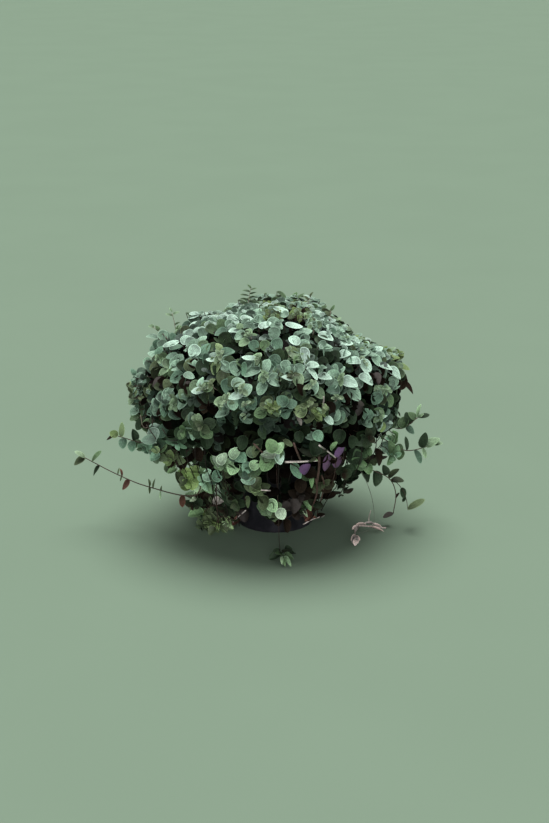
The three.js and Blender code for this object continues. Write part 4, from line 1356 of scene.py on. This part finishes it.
def make_core(material):
    """The tangle of stems in the canopy, near-black as painted shade, closed below down to the pot's rim."""
    points = core_points()
    bottom, top = len(points) - 2, len(points) - 1
    last = bottom - CORE_SIDES
    faces = []
    for i in range(0, last, CORE_SIDES):
        for k in range(CORE_SIDES):
            m = (k + 1) % CORE_SIDES
            faces.append((i + k, i + m, i + CORE_SIDES + m, i + CORE_SIDES + k))
    for k in range(CORE_SIDES):
        m = (k + 1) % CORE_SIDES
        faces += [(bottom, m, k), (top, last + k, last + m)]
    mesh = bpy.data.meshes.new("canopy_core")
    mesh.from_pydata(points, [], faces, shade_flat=False)
    mesh.materials.append(material)
    piece = linked("canopy_core", mesh)
    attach(piece, "root")
    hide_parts("canopy")


# Leaves along a stem: how they lift, spread from it in degrees, rise and lean, how their length shrinks to
# its tip and varies, how their tint varies, and the rosette at its tip
SHOOT_RADIUS = 0.001
LEAF_LIFT = 0.5
LEAF_SPREAD = (60, 30)
LEAF_RISE = (0.2, 0.5)
LEAF_LEAN = 0.25
HANGING_WIDTH = 0.9
HANGING_SHRINK = (1.08, 0.4)
HANGING_SIZE_PLAY = 0.24
HANGING_SHADE_PLAY = 0.5
AHEAD_STEP = 0.002
END_STALK = 0.008
END_OUT = 0.5
END_SIZE = 0.8
END_LEAVES = 5


def leafy_stem(foliage, route, style):
    """A stem with leaves in two rows from a share of its length, and a rosette at its tip."""
    line = foliage.stem(route, SHOOT_RADIUS, style["stem"])
    lengths = lengths_along(line)
    tip_way = unit(line[-1] - line[-2])
    start = style["share"] * lengths[-1]
    count = max(2, round((lengths[-1] - start) / style["spacing"]))
    whole, loss = HANGING_SHRINK
    hand = 1
    for i in range(count):
        share = i / count
        place = start + (lengths[-1] - start) * share
        at = on_line(line, lengths, place)
        ahead = on_line(line, lengths, place + AHEAD_STEP) - at
        ahead = unit(ahead) if np.linalg.norm(ahead) > 1e-6 else tip_way
        out = unit(np.array((at[0], at[1], 0.0)) + 1e-6)
        out = out + LEAF_LIFT * UP
        out = unit(out - ahead * out.dot(ahead))
        side = np.cross(ahead, out)
        hand = -hand
        spread = math.radians(foliage.about(*LEAF_SPREAD))
        heading = math.cos(spread) * ahead + hand * math.sin(spread) * side
        heading = heading + foliage.about(*LEAF_RISE) * out
        face = out + LEAF_LEAN * foliage.random.randn(3)
        length = style["size"] * (whole - loss * share) * foliage.about(1, HANGING_SIZE_PLAY)
        tint = shown(foliage.pick(style["kinds"]))
        tint = tint * style.get("shade", 1.0) * foliage.about(1, HANGING_SHADE_PLAY)
        foliage.leaf(at, heading, face, length, tint, HANGING_WIDTH)
    if "tip" in style:
        out = unit(np.array((line[-1][0], line[-1][1], 0.0)))
        foot = line[-1] - tip_way * END_STALK
        axis = tip_way + END_OUT * out
        tints = shown(style["kinds"][0]), shown(style["tip"])
        rosette(foliage, foot, axis, END_SIZE * style["size"], END_LEAVES, *tints, END_STALK)
    return line


# The holes in the soil that the stems stand in, and how far the stems rise straight up from there
HOLE_FLOOR = 0.0966
UPRIGHT_FOOT = 0.0285


def rooted(azimuth, radius):
    """The first two points of a stem, from its foot in the soil."""
    return [around(azimuth, radius, HOLE_FLOOR), around(azimuth, radius, HOLE_FLOOR + UPRIGHT_FOOT)]


# The hanging stems: azimuth, farthest reach, height and radius of the tip, as the solids have them
OUTER_HANGING = (
    (30, 0.150, 0.084, 0.132),
    (62, 0.153, 0.092, 0.140),
    (94, 0.150, 0.080, 0.132),
    (126, 0.154, 0.090, 0.138),
    (158, 0.150, 0.082, 0.134),
    (240, 0.146, 0.074, 0.126),
    (272, 0.142, 0.084, 0.126),
    (324, 0.150, 0.096, 0.138),
)
INNER_HANGING = (
    (18, 0.112, 0.044, 0.100),
    (56, 0.112, 0.034, 0.098),
    (94, 0.114, 0.046, 0.100),
    (132, 0.112, 0.030, 0.097),
    (170, 0.114, 0.042, 0.100),
    (247, 0.112, 0.046, 0.098),
    (292, 0.110, 0.050, 0.094),
    (316, 0.112, 0.038, 0.092),
)


# Courses of the two rings of stems: radius of the foot, radius and height over the pot's rim, then how far
# inside the farthest reach and how high the widest stretch is
OUTER_RING = (0.050, ((0.066, 0.152), (0.108, 0.182)), ((0.006, 0.168), (0.0, 0.132)))
INNER_RING = (0.066, ((0.074, 0.136), (0.094, 0.139)), ((0.0, 0.112), (0.0, 0.078)))


def ring_route(ring, azimuth, reach, tip_height, tip_radius):
    """A hanging stem's course, over the rim, out to its reach and down to its tip."""
    foot, over, widest = ring
    return [
        *rooted(azimuth, foot),
        *(around(azimuth, radius, height) for radius, height in over),
        *(around(azimuth, reach - inside, height) for inside, height in widest),
        around(azimuth, tip_radius, tip_height),
    ]


# How the hanging stems are leafed: at the front they are what shows dark behind the leaves seen one by one,
# their leaves and stems darkened as painted shade; the flanks and the low ones are dimmed as painted shade
# under the canopy too
FRONT_STYLE = dict(stem=SHADED_STEM, spacing=0.014, size=0.0195, kinds="DNND", shade=0.2)
SIDE_STYLE = dict(stem=DARK_STEM, spacing=0.0105, size=0.0185, kinds="GDDBOGF", tip="F", shade=1.1)
DIM_STYLE = dict(stem=SHADED_STEM, spacing=0.0125)
FLANK_STYLE = dict(DIM_STYLE, size=0.0205, kinds="ODNGDOB", tip="G", shade=0.75, share=0.5)
LOW_STYLE = dict(DIM_STYLE, size=0.0195, kinds="ODNYO", tip="O", shade=0.8, share=0.45)

# Side shoots of a bunch, in steps from its main stem; bunches between these azimuths hang in front. How far
# side shoots may end above the main one, and how much nearer to the pot they may lie, there and elsewhere
SIDE_SHOOTS = (-2, -1, 1, 2)
FRONT_AZIMUTHS = (225, 335)
FRONT_PLAY = (0.015, 0.022)
SIDE_PLAY = (0.03, 0.004)
HEIGHT_STEP = 0.004


def hanging_foliage(kind, rows, ring, seed, spread, start):
    """The bunches of one ring of hanging stems, each a main stem and four side shoots."""
    bunches = []
    for i, row in enumerate(rows):
        azimuth, reach, tip_height, tip_radius = row
        foliage = Foliage(f"{kind}_hanging_{i + 1}", seed + i)
        in_front = FRONT_AZIMUTHS[0] < azimuth < FRONT_AZIMUTHS[1]
        style = dict(FRONT_STYLE if in_front else SIDE_STYLE, share=start)
        higher, nearer = FRONT_PLAY if in_front else SIDE_PLAY
        lines = [leafy_stem(foliage, ring_route(ring, *row), style)]
        for k in SIDE_SHOOTS:
            height = tip_height + higher * foliage.random.rand() + HEIGHT_STEP * abs(k)
            farthest = reach - nearer * foliage.random.rand()
            route = ring_route(ring, azimuth + spread * k, farthest, height, tip_radius - nearer / 2)
            lines.append(leafy_stem(foliage, route, style))
        bunches.append([f"{kind}_stem_{i + 1}", foliage, lines])
    return bunches


# What counts against a stem that a leaf might grow from: being lower than the leaf, or nearer to the camera
LOWER_COST = 0.6
LOWER_ROOM = 0.006
NEARER_COST = 2.0


def nearest_stem(bunches, place):
    """The hanging stem that a leaf at a place most likely grows from, and where on it."""
    best = None
    for _, foliage, lines in bunches:
        for line in lines:
            apart = np.linalg.norm(line - place, axis=1)
            apart = apart + LOWER_COST * np.maximum(0, place[2] + LOWER_ROOM - line[:, 2])
            apart += NEARER_COST * np.maximum(0, (line - place) @ TOWARDS)
            i = int(np.argmin(apart))
            if best is None or apart[i] < best[0]:
                best = (apart[i], foliage, line[i])
    return best[1:]


# Which way the middle of a side shoot bends, as a share of its length
SIDE_BEND = 0.15 * UP - 0.35 * TOWARDS


def side_shoot(foliage, root, end):
    """A thin stem from a bunch's stem to a leaf, bent up and back."""
    bend = blend(root, end, 0.5) + np.linalg.norm(end - root) * SIDE_BEND
    foliage.stem([root, bend, end], TWIG_RADIUS, DARK_STEM, 0.8, 0.009)


# Leaves seen under the canopy: how far before the surface they lie, their brightness by kind and for the
# rest, painted shade on the dark kinds and painted light on the rest where the canopy shades them, the same
# for those behind them as painted shade, how deep bunches stand and how they look forward and lean, and how
# low a leaf may be
TIER_FORWARD = 0.010
TIER_SHADES = {"N": 0.6, "D": 0.6, "P": 0.6, "U": 0.7, "O": 0.8, "V": 0.8}
TIER_PAINTED_LIGHT = 1.36
OTHER_DEPTH = 0.001
OTHER_SHADE = 0.45
CLUSTER_DEPTH = 0.004
CLUSTER_TOWARDS = 0.8
CLUSTER_LEAN = 0.25
LOWEST_LEAF = 0.007


def over_floor(x, y, depth):
    """What a point of the photograph shows at a depth, nearer where that would be under the floor."""
    place = at_depth(x, y, depth)
    return place if place[2] > LOWEST_LEAF else at_height(x, y, LOWEST_LEAF)


def tier_leaves(bunches):
    """Leaves and bunches of the hanging stems' front, each on a thin shoot from the nearest stem."""
    for row in TIER_LEAVES:
        kind, x, y = row[:3]
        middle = over_floor(x, y, seen_depth(x, y) - TIER_FORWARD + DEEPER.get(kind, USUAL_DEPTH))
        foliage, root = nearest_stem(bunches, middle)
        # Painted shade on the dark kinds, painted light on the rest under the canopy
        shade = TIER_SHADES.get(kind, TIER_PAINTED_LIGHT)
        side_shoot(foliage, root, foliage.seen_leaf(row, middle, open_sky=UNDER_CANOPY, shade=shade))
        for other in companions(foliage, row, 1):
            place = at_depth(other[1], other[2], seen_depth(other[1], other[2]) + OTHER_DEPTH)
            base = foliage.seen_leaf(other, place, open_sky=UNDER_CANOPY, shade=OTHER_SHADE)
            side_shoot(foliage, root, base)
    for x, y, kinds, count, width, forward, bright in CLUSTERS:
        foot = over_floor(x, y, seen_depth(x, y) + CLUSTER_DEPTH - forward)
        foliage, root = nearest_stem(bunches, foot)
        side_shoot(foliage, root, foot)
        axis = outward(foot) + CLUSTER_TOWARDS * TOWARDS + CLUSTER_LEAN * foliage.random.randn(3)
        # The bunch's share of brightness paints light and shade on it under the canopy
        tints = [bright * painted(kind, unit(axis), UNDER_CANOPY) for kind in kinds]
        rosette(foliage, foot, axis, width * PIXEL, count, tints[0], tints[1], ruled=False)


# The ends of bare stems go on by a share of their last stretch, and sink into the leaves
SUNK_SHARE = 0.12
SUNK_DEPTH = 0.003


def tier_stems(foliage):
    """Bare stems that cross the dark under the canopy."""
    for colour, radius, course in BARE_STEMS:
        line = [at_depth(x, y, seen_depth(x, y) - TIER_FORWARD) for x, y in course]
        ends = [blend(line[0], line[1], -SUNK_SHARE), blend(line[-1], line[-2], -SUNK_SHARE)]
        ends = [end - SUNK_DEPTH * TOWARDS for end in ends]
        foliage.stem([ends[0], *line, ends[1]], radius, colour, 0.85, 0.004)


def leaves_along(foliage, line, rows):
    """Leaves by their foot, each on the point of a stem that looks nearest to it."""
    seen = np.array([pixel_of(place) for place in line])
    for row in rows:
        nearest = int(np.argmin(np.linalg.norm(seen - np.array(row[1:3]), axis=1)))
        foliage.seen_leaf(row, base=line[nearest])


# The stems that the photograph shows one by one: node, the leaves read from it or how it is leafed by rule,
# azimuth and radius of the foot, stations as azimuth, radius and height, then free points
NAMED_STEMS = (
    ("long_left_stem", LONG_LEFT_LEAVES, (210, 0.060), ((210, 0.072, 0.136), (210, 0.096, 0.134)),
     ((-0.104, -0.062, 0.092), (-0.112, -0.062, 0.062), (-0.183, -0.060, 0.074), (-0.225, -0.055, 0.090),
      (-0.278, -0.042, 0.114))),
    ("upper_left_stem", UPPER_LEFT_LEAVES, (188, 0.058),
     ((188, 0.070, 0.152), (188, 0.110, 0.180), (188, 0.150, 0.156)),
     ((-0.178, -0.030, 0.130), (-0.232, -0.026, 0.140))),
    ("middle_left_stem", dict(kinds="BGDOB", size=0.016, spacing=0.008), (205, 0.048),
     ((205, 0.066, 0.150), (205, 0.108, 0.176), (203, 0.148, 0.158), (200, 0.166, 0.132),
      (198, 0.172, 0.112)), ()),
    ("low_left_stem", dict(kinds="OYDO", size=0.017, spacing=0.010, tip="Y"), (224, 0.066),
     ((224, 0.076, 0.136), (224, 0.096, 0.138), (224, 0.112, 0.108), (224, 0.116, 0.066),
      (224, 0.112, 0.018)), ()),
    ("upper_right_stem", UPPER_RIGHT_LEAVES, (2, 0.046), ((2, 0.066, 0.152), (2, 0.108, 0.176)),
     ((0.150, 0.008, 0.154), (0.182, 0.002, 0.140), (0.207, -0.006, 0.160))),
    ("far_right_stem", FAR_RIGHT_LEAVES, (352, 0.052), ((352, 0.068, 0.146), (352, 0.106, 0.164)),
     ((0.150, -0.022, 0.138), (0.188, -0.024, 0.116), (0.230, -0.022, 0.124))),
    ("low_right_stem", LOW_RIGHT_LEAVES, (346, 0.066), ((346, 0.076, 0.134), (346, 0.094, 0.134)),
     ((0.124, -0.028, 0.096), (0.166, -0.028, 0.074), (0.176, -0.026, 0.050), (0.173, -0.024, 0.018))),
    ("purple_stem", dict(kinds="PDNP", size=0.015, spacing=0.014), (304, 0.050),
     ((304, 0.068, 0.146), (304, 0.108, 0.170), (304, 0.142, 0.158), (305, 0.146, 0.124),
      (306, 0.134, 0.092)), ()),
    ("front_stem", (), (270, 0.066), ((270, 0.076, 0.136), (271, 0.096, 0.134)),
     ((0.003, -0.108, 0.092), (0.005, -0.098, 0.044), (0.006, -0.104, 0.007), (0.008, -0.140, 0.003),
      (0.010, -0.176, 0.006))),
    ("dried_stem", (), (337, 0.062), ((337, 0.076, 0.134), (337, 0.096, 0.132)),
     ((0.122, -0.052, 0.096), (0.140, -0.054, 0.052), (0.142, -0.054, 0.012), (0.134, -0.058, 0.005),
      (0.112, -0.074, 0.007))),
)

# From which share on they have leaves, how thick and tapered they are, the thin ones apart, of which share
# no leaf's shoot starts, and how far along the fork's depth is taken
NAMED_START = 0.5
NAMED_RADIUS = 0.0012
NAMED_TAPER = 0.55
THIN_RADIUS = 0.0006
ROOTED_SHARE = 1 / 3
THIN_STEM_TINTS = {"front_stem": DARK_STEM, "dried_stem": DULL_STEM}
FORK_DEPTH_SHARE = 0.75

# Leaves that touch the floor: kind, foot and tip as pixels with a height, and a width in pixels
FRONT_SPROUT = (
    ("D", (281, 554, 0.008), (269, 559, 0.002), 9),
    ("G", (283, 556, 0.010), (276, 553, 0.020), 9),
    ("D", (284, 554, 0.008), (296, 552, 0.006), 9),
    ("G", (284, 555, 0.010), (294, 558, 0.004), 9),
    ("D", (285, 553, 0.012), (291, 548, 0.026), 7),
    ("D", (281, 553, 0.012), (275, 549, 0.024), 6),
    ("G", (283, 557, 0.010), (285, 566, 0.003), 4),
    ("F", (285, 557, 0.010), (291, 566, 0.004), 4),
    ("C", (282, 557, 0.012), (282, 564, 0.006), 3),
)

# The dried end's stem and a thread that stands up from it: radius, taper, and course as pixels with a height
DRIED_STEMS = (
    (0.0013, 0.6,
     ((386, 528, 0.003), (376, 527, 0.005), (366, 526, 0.006), (357, 526, 0.006), (355, 538, 0.003))),
    (0.0009, 0.5, ((369, 524, 0.007), (369, 517, 0.016), (371, 510, 0.026))),
)
DRIED_BITS = (
    ("R", (366, 525, 0.008), (355, 524, 0.007), 3),
    ("R", (368, 527, 0.006), (384, 530, 0.004), 2),
    ("R", (372, 525, 0.008), (382, 526, 0.007), 3),
    ("K", (374, 524, 0.009), (364, 523, 0.010), 3),
    ("R", (358, 526, 0.008), (352, 529, 0.004), 4),
    ("K", (359, 527, 0.007), (355, 532, 0.004), 3),
    ("R", (356, 536, 0.005), (351, 540, 0.003), 4),
    ("R", (355, 536, 0.005), (360, 540, 0.003), 4),
    ("K", (355, 537, 0.007), (352, 543, 0.004), 4),
    ("R", (356, 537, 0.007), (358, 543, 0.004), 4),
    ("R", (356, 539, 0.008), (355, 545, 0.003), 5),
    ("K", (353, 538, 0.008), (358, 540, 0.009), 4),
)

# How laid leaves are lit, blush and curl, the widest as a share of their length, and where their faces look
LAID_LIGHT = 0.8
LAID_BLUSH = 0.3
LAID_CUP = 0.16
LAID_DROOP = 0.12
WIDEST = 1.2
LAID_FACE = UP + 0.5 * TOWARDS
LAID_LEAN = 0.25
LAID_SHADE_PLAY = 0.2


def laid_leaves(foliage, rows):
    """Leaves that lie on the floor or just over it, their faces up."""
    for kind, foot, tip, width in rows:
        base = at_height(*foot)
        way = at_height(*tip) - base
        length = np.linalg.norm(way)
        face = LAID_FACE + LAID_LEAN * foliage.random.randn(3)
        colour = TINTS[kind] / LAID_LIGHT * foliage.about(1, LAID_SHADE_PLAY)
        blush = 0 if kind == "R" else LAID_BLUSH
        wide = min(WIDEST, width * PIXEL / length)
        foliage.leaf(base, way, face, length, colour, wide, LAID_CUP, LAID_DROOP, blush, ruled=False)


def make_named():
    """The stems that are seen on their own, with their leaves."""
    bunches = []
    for i, (name, leafing, foot, stations, free) in enumerate(NAMED_STEMS):
        foliage = Foliage(name + "_fine", 500 + i)
        route = [*rooted(*foot), *(around(*station) for station in stations), *map(np.array, free)]
        if isinstance(leafing, dict):
            line = leafy_stem(foliage, route, dict(leafing, stem=DARK_STEM, share=NAMED_START))
        else:
            radius = THIN_RADIUS if name in THIN_STEM_TINTS else NAMED_RADIUS
            tint = THIN_STEM_TINTS.get(name, BROWN_STEM)
            line = foliage.stem(route, radius, tint, NAMED_TAPER, 0.006)
            leaves_along(foliage, line, leafing)
        if name == "low_right_stem":
            depth = depth_of(line[int(FORK_DEPTH_SHARE * len(line))])
            fork = [at_depth(x, y, depth) for x, y in FORKED_END]
            leaves_along(foliage, foliage.stem(fork, THIN_RADIUS, DARK_STEM, 0.6, 0.005), FORKED_END_LEAVES)
        if name == "front_stem":
            laid_leaves(foliage, FRONT_SPROUT)
        if name == "dried_stem":
            for radius, taper, course in DRIED_STEMS:
                foliage.stem([at_height(*spot) for spot in course], radius, DRY_STEM, taper, 0.004)
            laid_leaves(foliage, DRIED_BITS)
        lines = [line[int(ROOTED_SHARE * len(line)):]]
        for node_name, outer, *hang in FLANKS:
            if node_name == name:
                route = ring_route(OUTER_RING if outer else INNER_RING, *hang)
                lines.append(leafy_stem(foliage, route, FLANK_STYLE if outer else LOW_STYLE))
        bunches.append([name, foliage, lines])
    return bunches


def make_hanging(materials):
    """All the stems under and beside the canopy, in a fine piece each."""
    bunches = hanging_foliage("outer", OUTER_HANGING, OUTER_RING, seed=320, spread=7.2, start=0.5)
    bunches += hanging_foliage("inner", INNER_HANGING, INNER_RING, seed=420, spread=8.5, start=0.42)
    bunches += make_named()
    reachable = [bunch for bunch in bunches if bunch[0] not in THIN_STEM_TINTS]
    tier_leaves(reachable)
    tier_stems(next(foliage for name, foliage, _ in bunches if name == "purple_stem"))
    for name, foliage, _ in bunches:
        piece = foliage.build(materials)
        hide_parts(name)


# Colours as light, the darker first; how steeply a leaf's faint parallel veins repeat across it and how
# pale its rim is, partly its own margin and partly a painted highlight; and how far apart the fine moulded
# rings round the pot are
BLUSH_COLOUR = (0.05, 0.026, 0.032)
# The tangle's near-black is painted shade inside the canopy over the stems' own dark colour
TANGLE_AND_SHADE_COLOURS = ((0.004, 0.004, 0.004), (0.022, 0.017, 0.013))
PLASTIC_COLOURS = ((0.010, 0.009, 0.014), (0.024, 0.022, 0.030))
SOIL_COLOURS = ((0.012, 0.008, 0.006), (0.06, 0.04, 0.028))
FLOOR_COLOUR = (0.218, 0.298, 0.218)
SKY_COLOUR = (0.98, 1.0, 1.0)
VEIN_TURNS = 44.0
RIM_MARGIN_AND_HIGHLIGHT = 1.75
RING_PITCH = 0.0024


def new_material(name, roughness):
    """A material, its nodes and its shader."""
    material = bpy.data.materials.new(name)
    material.use_nodes = True
    shader = material.node_tree.nodes["Principled BSDF"]
    shader.inputs["Roughness"].default_value = roughness
    return material, material.node_tree, shader


def node(tree, kind, **values):
    """A shader node of a kind, with some values set."""
    made = tree.nodes.new("ShaderNode" + kind)
    for name, value in values.items():
        setattr(made, name, value)
    return made


def feed(tree, socket, value):
    """Links an output to an input, or sets the input to a plain value."""
    if isinstance(value, bpy.types.NodeSocket):
        tree.links.new(value, socket)
    else:
        socket.default_value = value


def noise(tree, scale, detail=3.0):
    """Noise over the object's own coordinates, around 0.5."""
    made = node(tree, "TexNoise")
    made.inputs["Scale"].default_value = scale
    made.inputs["Detail"].default_value = detail
    tree.links.new(node(tree, "TexCoord").outputs["Object"], made.inputs["Vector"])
    return made.outputs["Fac"]


def mapped(tree, value, low, high, to_low=0.0, to_high=1.0):
    """A value between two limits, mapped smoothly to between two others."""
    made = node(tree, "MapRange", interpolation_type="SMOOTHSTEP")
    for socket, number in zip(made.inputs, (value, low, high, to_low, to_high)):
        feed(tree, socket, number)
    return made.outputs["Result"]


def maths(tree, operation, *values):
    made = node(tree, "Math", operation=operation)
    for socket, value in zip(made.inputs, values):
        feed(tree, socket, value)
    return made.outputs["Value"]


def mixed(tree, share, first, second, blend_type="MIX"):
    made = node(tree, "Mix", data_type="RGBA", blend_type=blend_type)
    feed(tree, made.inputs["Factor"], share)
    feed(tree, made.inputs["A"], first if isinstance(first, bpy.types.NodeSocket) else (*first, 1))
    feed(tree, made.inputs["B"], second if isinstance(second, bpy.types.NodeSocket) else (*second, 1))
    return made.outputs["Result"]


def varied(tree, colour, *mapping):
    """A colour times a mapped value."""
    return shaded(tree, colour, mapped(tree, *mapping))


def shaded(tree, colour, amount):
    """A colour times a factor that varies."""
    grey = node(tree, "CombineColor")
    for socket in grey.inputs:
        feed(tree, socket, amount)
    return mixed(tree, 1.0, colour, grey.outputs["Color"], "MULTIPLY")


def bumped(tree, shader, height, strength, distance):
    """Gives a shader a bump by a height from 0 to 1, over a distance in metres."""
    made = node(tree, "Bump")
    made.inputs["Strength"].default_value = strength
    made.inputs["Distance"].default_value = distance
    tree.links.new(height, made.inputs["Height"])
    tree.links.new(made.outputs["Normal"], shader.inputs["Normal"])


def read(tree, name):
    return node(tree, "Attribute", attribute_name=name).outputs


def glossy(tree, shader):
    """A faint gloss, less on the darkest leaves, which lie deep in the tangle."""
    gloss = mapped(tree, read(tree, "tint")["Fac"], 0.004, 0.1, 0.01, 0.2)
    shader.inputs["Specular IOR Level"].default_value = 0.15
    tree.links.new(gloss, shader.inputs["Specular IOR Level"])


def leaf_top_material():
    material, tree, shader = new_material("leaf_top", 0.5)
    tint = read(tree, "tint")["Color"]
    place = node(tree, "SeparateXYZ")
    tree.links.new(read(tree, "leaf")["Vector"], place.inputs["Vector"])
    across = maths(tree, "ABSOLUTE", place.outputs["Y"])
    mottle = noise(tree, 420, 5.0)
    colour = varied(tree, tint, mottle, 0.36, 0.66, 0.76, 1.16)
    veins = maths(tree, "SINE", maths(tree, "MULTIPLY", place.outputs["Y"], VEIN_TURNS))
    colour = varied(tree, colour, veins, -1.0, 1.0, 0.90, 1.08)
    # Darker towards the middle; the base much darker still, which is painted shade where the leaves above
    # overlap it
    colour = varied(tree, colour, place.outputs["Z"], 0.1, 0.9, 0.88, 1.04)
    colour = varied(tree, colour, place.outputs["X"], -0.1, 0.62, 0.32, 1.06)
    colour = varied(tree, colour, across, 0.0, 0.035, 1.2, 1.0)
    # A pale rim, partly the leaf's own margin and partly a painted highlight
    rim = mapped(tree, place.outputs["Z"], 0.87, 0.97, 0.0, 0.62)
    colour = mixed(tree, rim, colour, shaded(tree, tint, RIM_MARGIN_AND_HIGHLIGHT))
    tree.links.new(colour, shader.inputs["Base Color"])
    rough = mapped(tree, mottle, 0.3, 0.7, 0.42, 0.6)
    tree.links.new(rough, shader.inputs["Roughness"])
    glossy(tree, shader)
    bumped(tree, shader, noise(tree, 700, 2.0), 0.25, 0.0006)
    return material


def leaf_under_material():
    material, tree, shader = new_material("leaf_under", 0.6)
    tint = shaded(tree, read(tree, "tint")["Color"], UNDER_SHADE)
    blush = read(tree, "blush")["Fac"]
    share = maths(tree, "MULTIPLY", blush, mapped(tree, noise(tree, 120), 0.3, 0.7, 0.4, 0.9))
    colour = mixed(tree, share, tint, BLUSH_COLOUR)
    colour = varied(tree, colour, noise(tree, 300), 0.3, 0.7, 0.85, 1.15)
    tree.links.new(colour, shader.inputs["Base Color"])
    glossy(tree, shader)
    bumped(tree, shader, noise(tree, 700, 2.0), 0.2, 0.0006)
    return material


def stem_material():
    material, tree, shader = new_material("stem", 0.55)
    colour = varied(tree, read(tree, "tint")["Color"], noise(tree, 350), 0.3, 0.7, 0.7, 1.3)
    tree.links.new(colour, shader.inputs["Base Color"])
    shader.inputs["Specular IOR Level"].default_value = 0.2
    bumped(tree, shader, noise(tree, 900, 2.0), 0.3, 0.0005)
    return material


def core_shade_material():
    material, tree, shader = new_material("tangle", 0.95)
    # Near-black, painted shade of the canopy's inside
    share = mapped(tree, noise(tree, 160, 6.0), 0.42, 0.7)
    colour = mixed(tree, share, *TANGLE_AND_SHADE_COLOURS)
    tree.links.new(colour, shader.inputs["Base Color"])
    shader.inputs["Specular IOR Level"].default_value = 0.02
    bumped(tree, shader, noise(tree, 220, 5.0), 1.0, 0.004)
    return material


def pot_material():
    material, tree, shader = new_material("black_plastic", 0.42)
    wear = noise(tree, 60, 6.0)
    colour = mixed(tree, mapped(tree, wear, 0.4, 0.7), *PLASTIC_COLOURS)
    tree.links.new(colour, shader.inputs["Base Color"])
    tree.links.new(mapped(tree, wear, 0.3, 0.7, 0.34, 0.55), shader.inputs["Roughness"])
    place = node(tree, "SeparateXYZ")
    tree.links.new(node(tree, "TexCoord").outputs["Object"], place.inputs["Vector"])
    rings = maths(tree, "SINE", maths(tree, "MULTIPLY", place.outputs["Z"], 2 * math.pi / RING_PITCH))
    grain = maths(tree, "ADD", maths(tree, "MULTIPLY", rings, 0.4), noise(tree, 900, 2.0))
    bumped(tree, shader, grain, 0.3, 0.0004)
    return material


def soil_material():
    material, tree, shader = new_material("compost", 0.95)
    share = mapped(tree, noise(tree, 300, 6.0), 0.35, 0.65)
    colour = mixed(tree, share, *SOIL_COLOURS)
    tree.links.new(colour, shader.inputs["Base Color"])
    bumped(tree, shader, noise(tree, 350, 6.0), 1.0, 0.003)
    return material


def floor_material():
    material, tree, shader = new_material("floor_sage", 0.95)
    colour = varied(tree, FLOOR_COLOUR, noise(tree, 3, 2.0), 0.3, 0.7, 0.99, 1.01)
    tree.links.new(colour, shader.inputs["Base Color"])
    shader.inputs["Specular IOR Level"].default_value = 0.0
    return material


def make_lamp(name, strength, angle, direction):
    """A wide lamp that shines from a direction."""
    light = bpy.data.lights.new(name, "SUN")
    light.energy = strength
    light.angle = math.radians(angle)
    holder = linked(name, light)
    holder.rotation_euler = (math.atan2(-direction[1], direction[2]), 0, 0)


def make_stage():
    """The plain floor, the room's light and the two lamps."""
    floor_mesh = bpy.data.meshes.new("floor")
    corners = [(x * FLOOR_HALF, y * FLOOR_HALF, 0) for x, y in ((-1, -1), (1, -1), (1, 1), (-1, 1))]
    floor_mesh.from_pydata(corners, [], [(0, 1, 2, 3)])
    floor = linked("floor", floor_mesh)
    floor_mesh.materials.append(floor_material())
    world = bpy.data.worlds.new("studio")
    world.use_nodes = True
    background = world.node_tree.nodes["Background"]
    background.inputs["Color"].default_value = (*SKY_COLOUR, 1)
    background.inputs["Strength"].default_value = SKY
    bpy.context.scene.world = world
    make_lamp("overhead", SUN, SUN_ANGLE, TOP_LIGHT)
    make_lamp("front", FILL, FILL_ANGLE, FRONT_LIGHT)


def make_camera():
    data = bpy.data.cameras.new("camera")
    data.lens = CAMERA_LENS
    data.sensor_width = SENSOR
    data.clip_end = CAMERA_REACH
    camera = linked("camera", data)
    camera.location = CAMERA_PLACE
    camera.rotation_euler = (math.radians(90 - CAMERA_ELEVATION), 0, 0)
    bpy.context.scene.camera = camera


make_camera()
make_stage()
leaf_materials = (leaf_top_material(), leaf_under_material(), stem_material())
make_canopy(leaf_materials)
make_core(core_shade_material())
make_hanging(leaf_materials)
for node_name, material in (("pot", pot_material()), ("soil", soil_material())):
    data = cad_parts[node_name].data
    data.materials.clear()
    data.materials.append(material)

bpy.context.scene.view_settings.view_transform = "Standard"
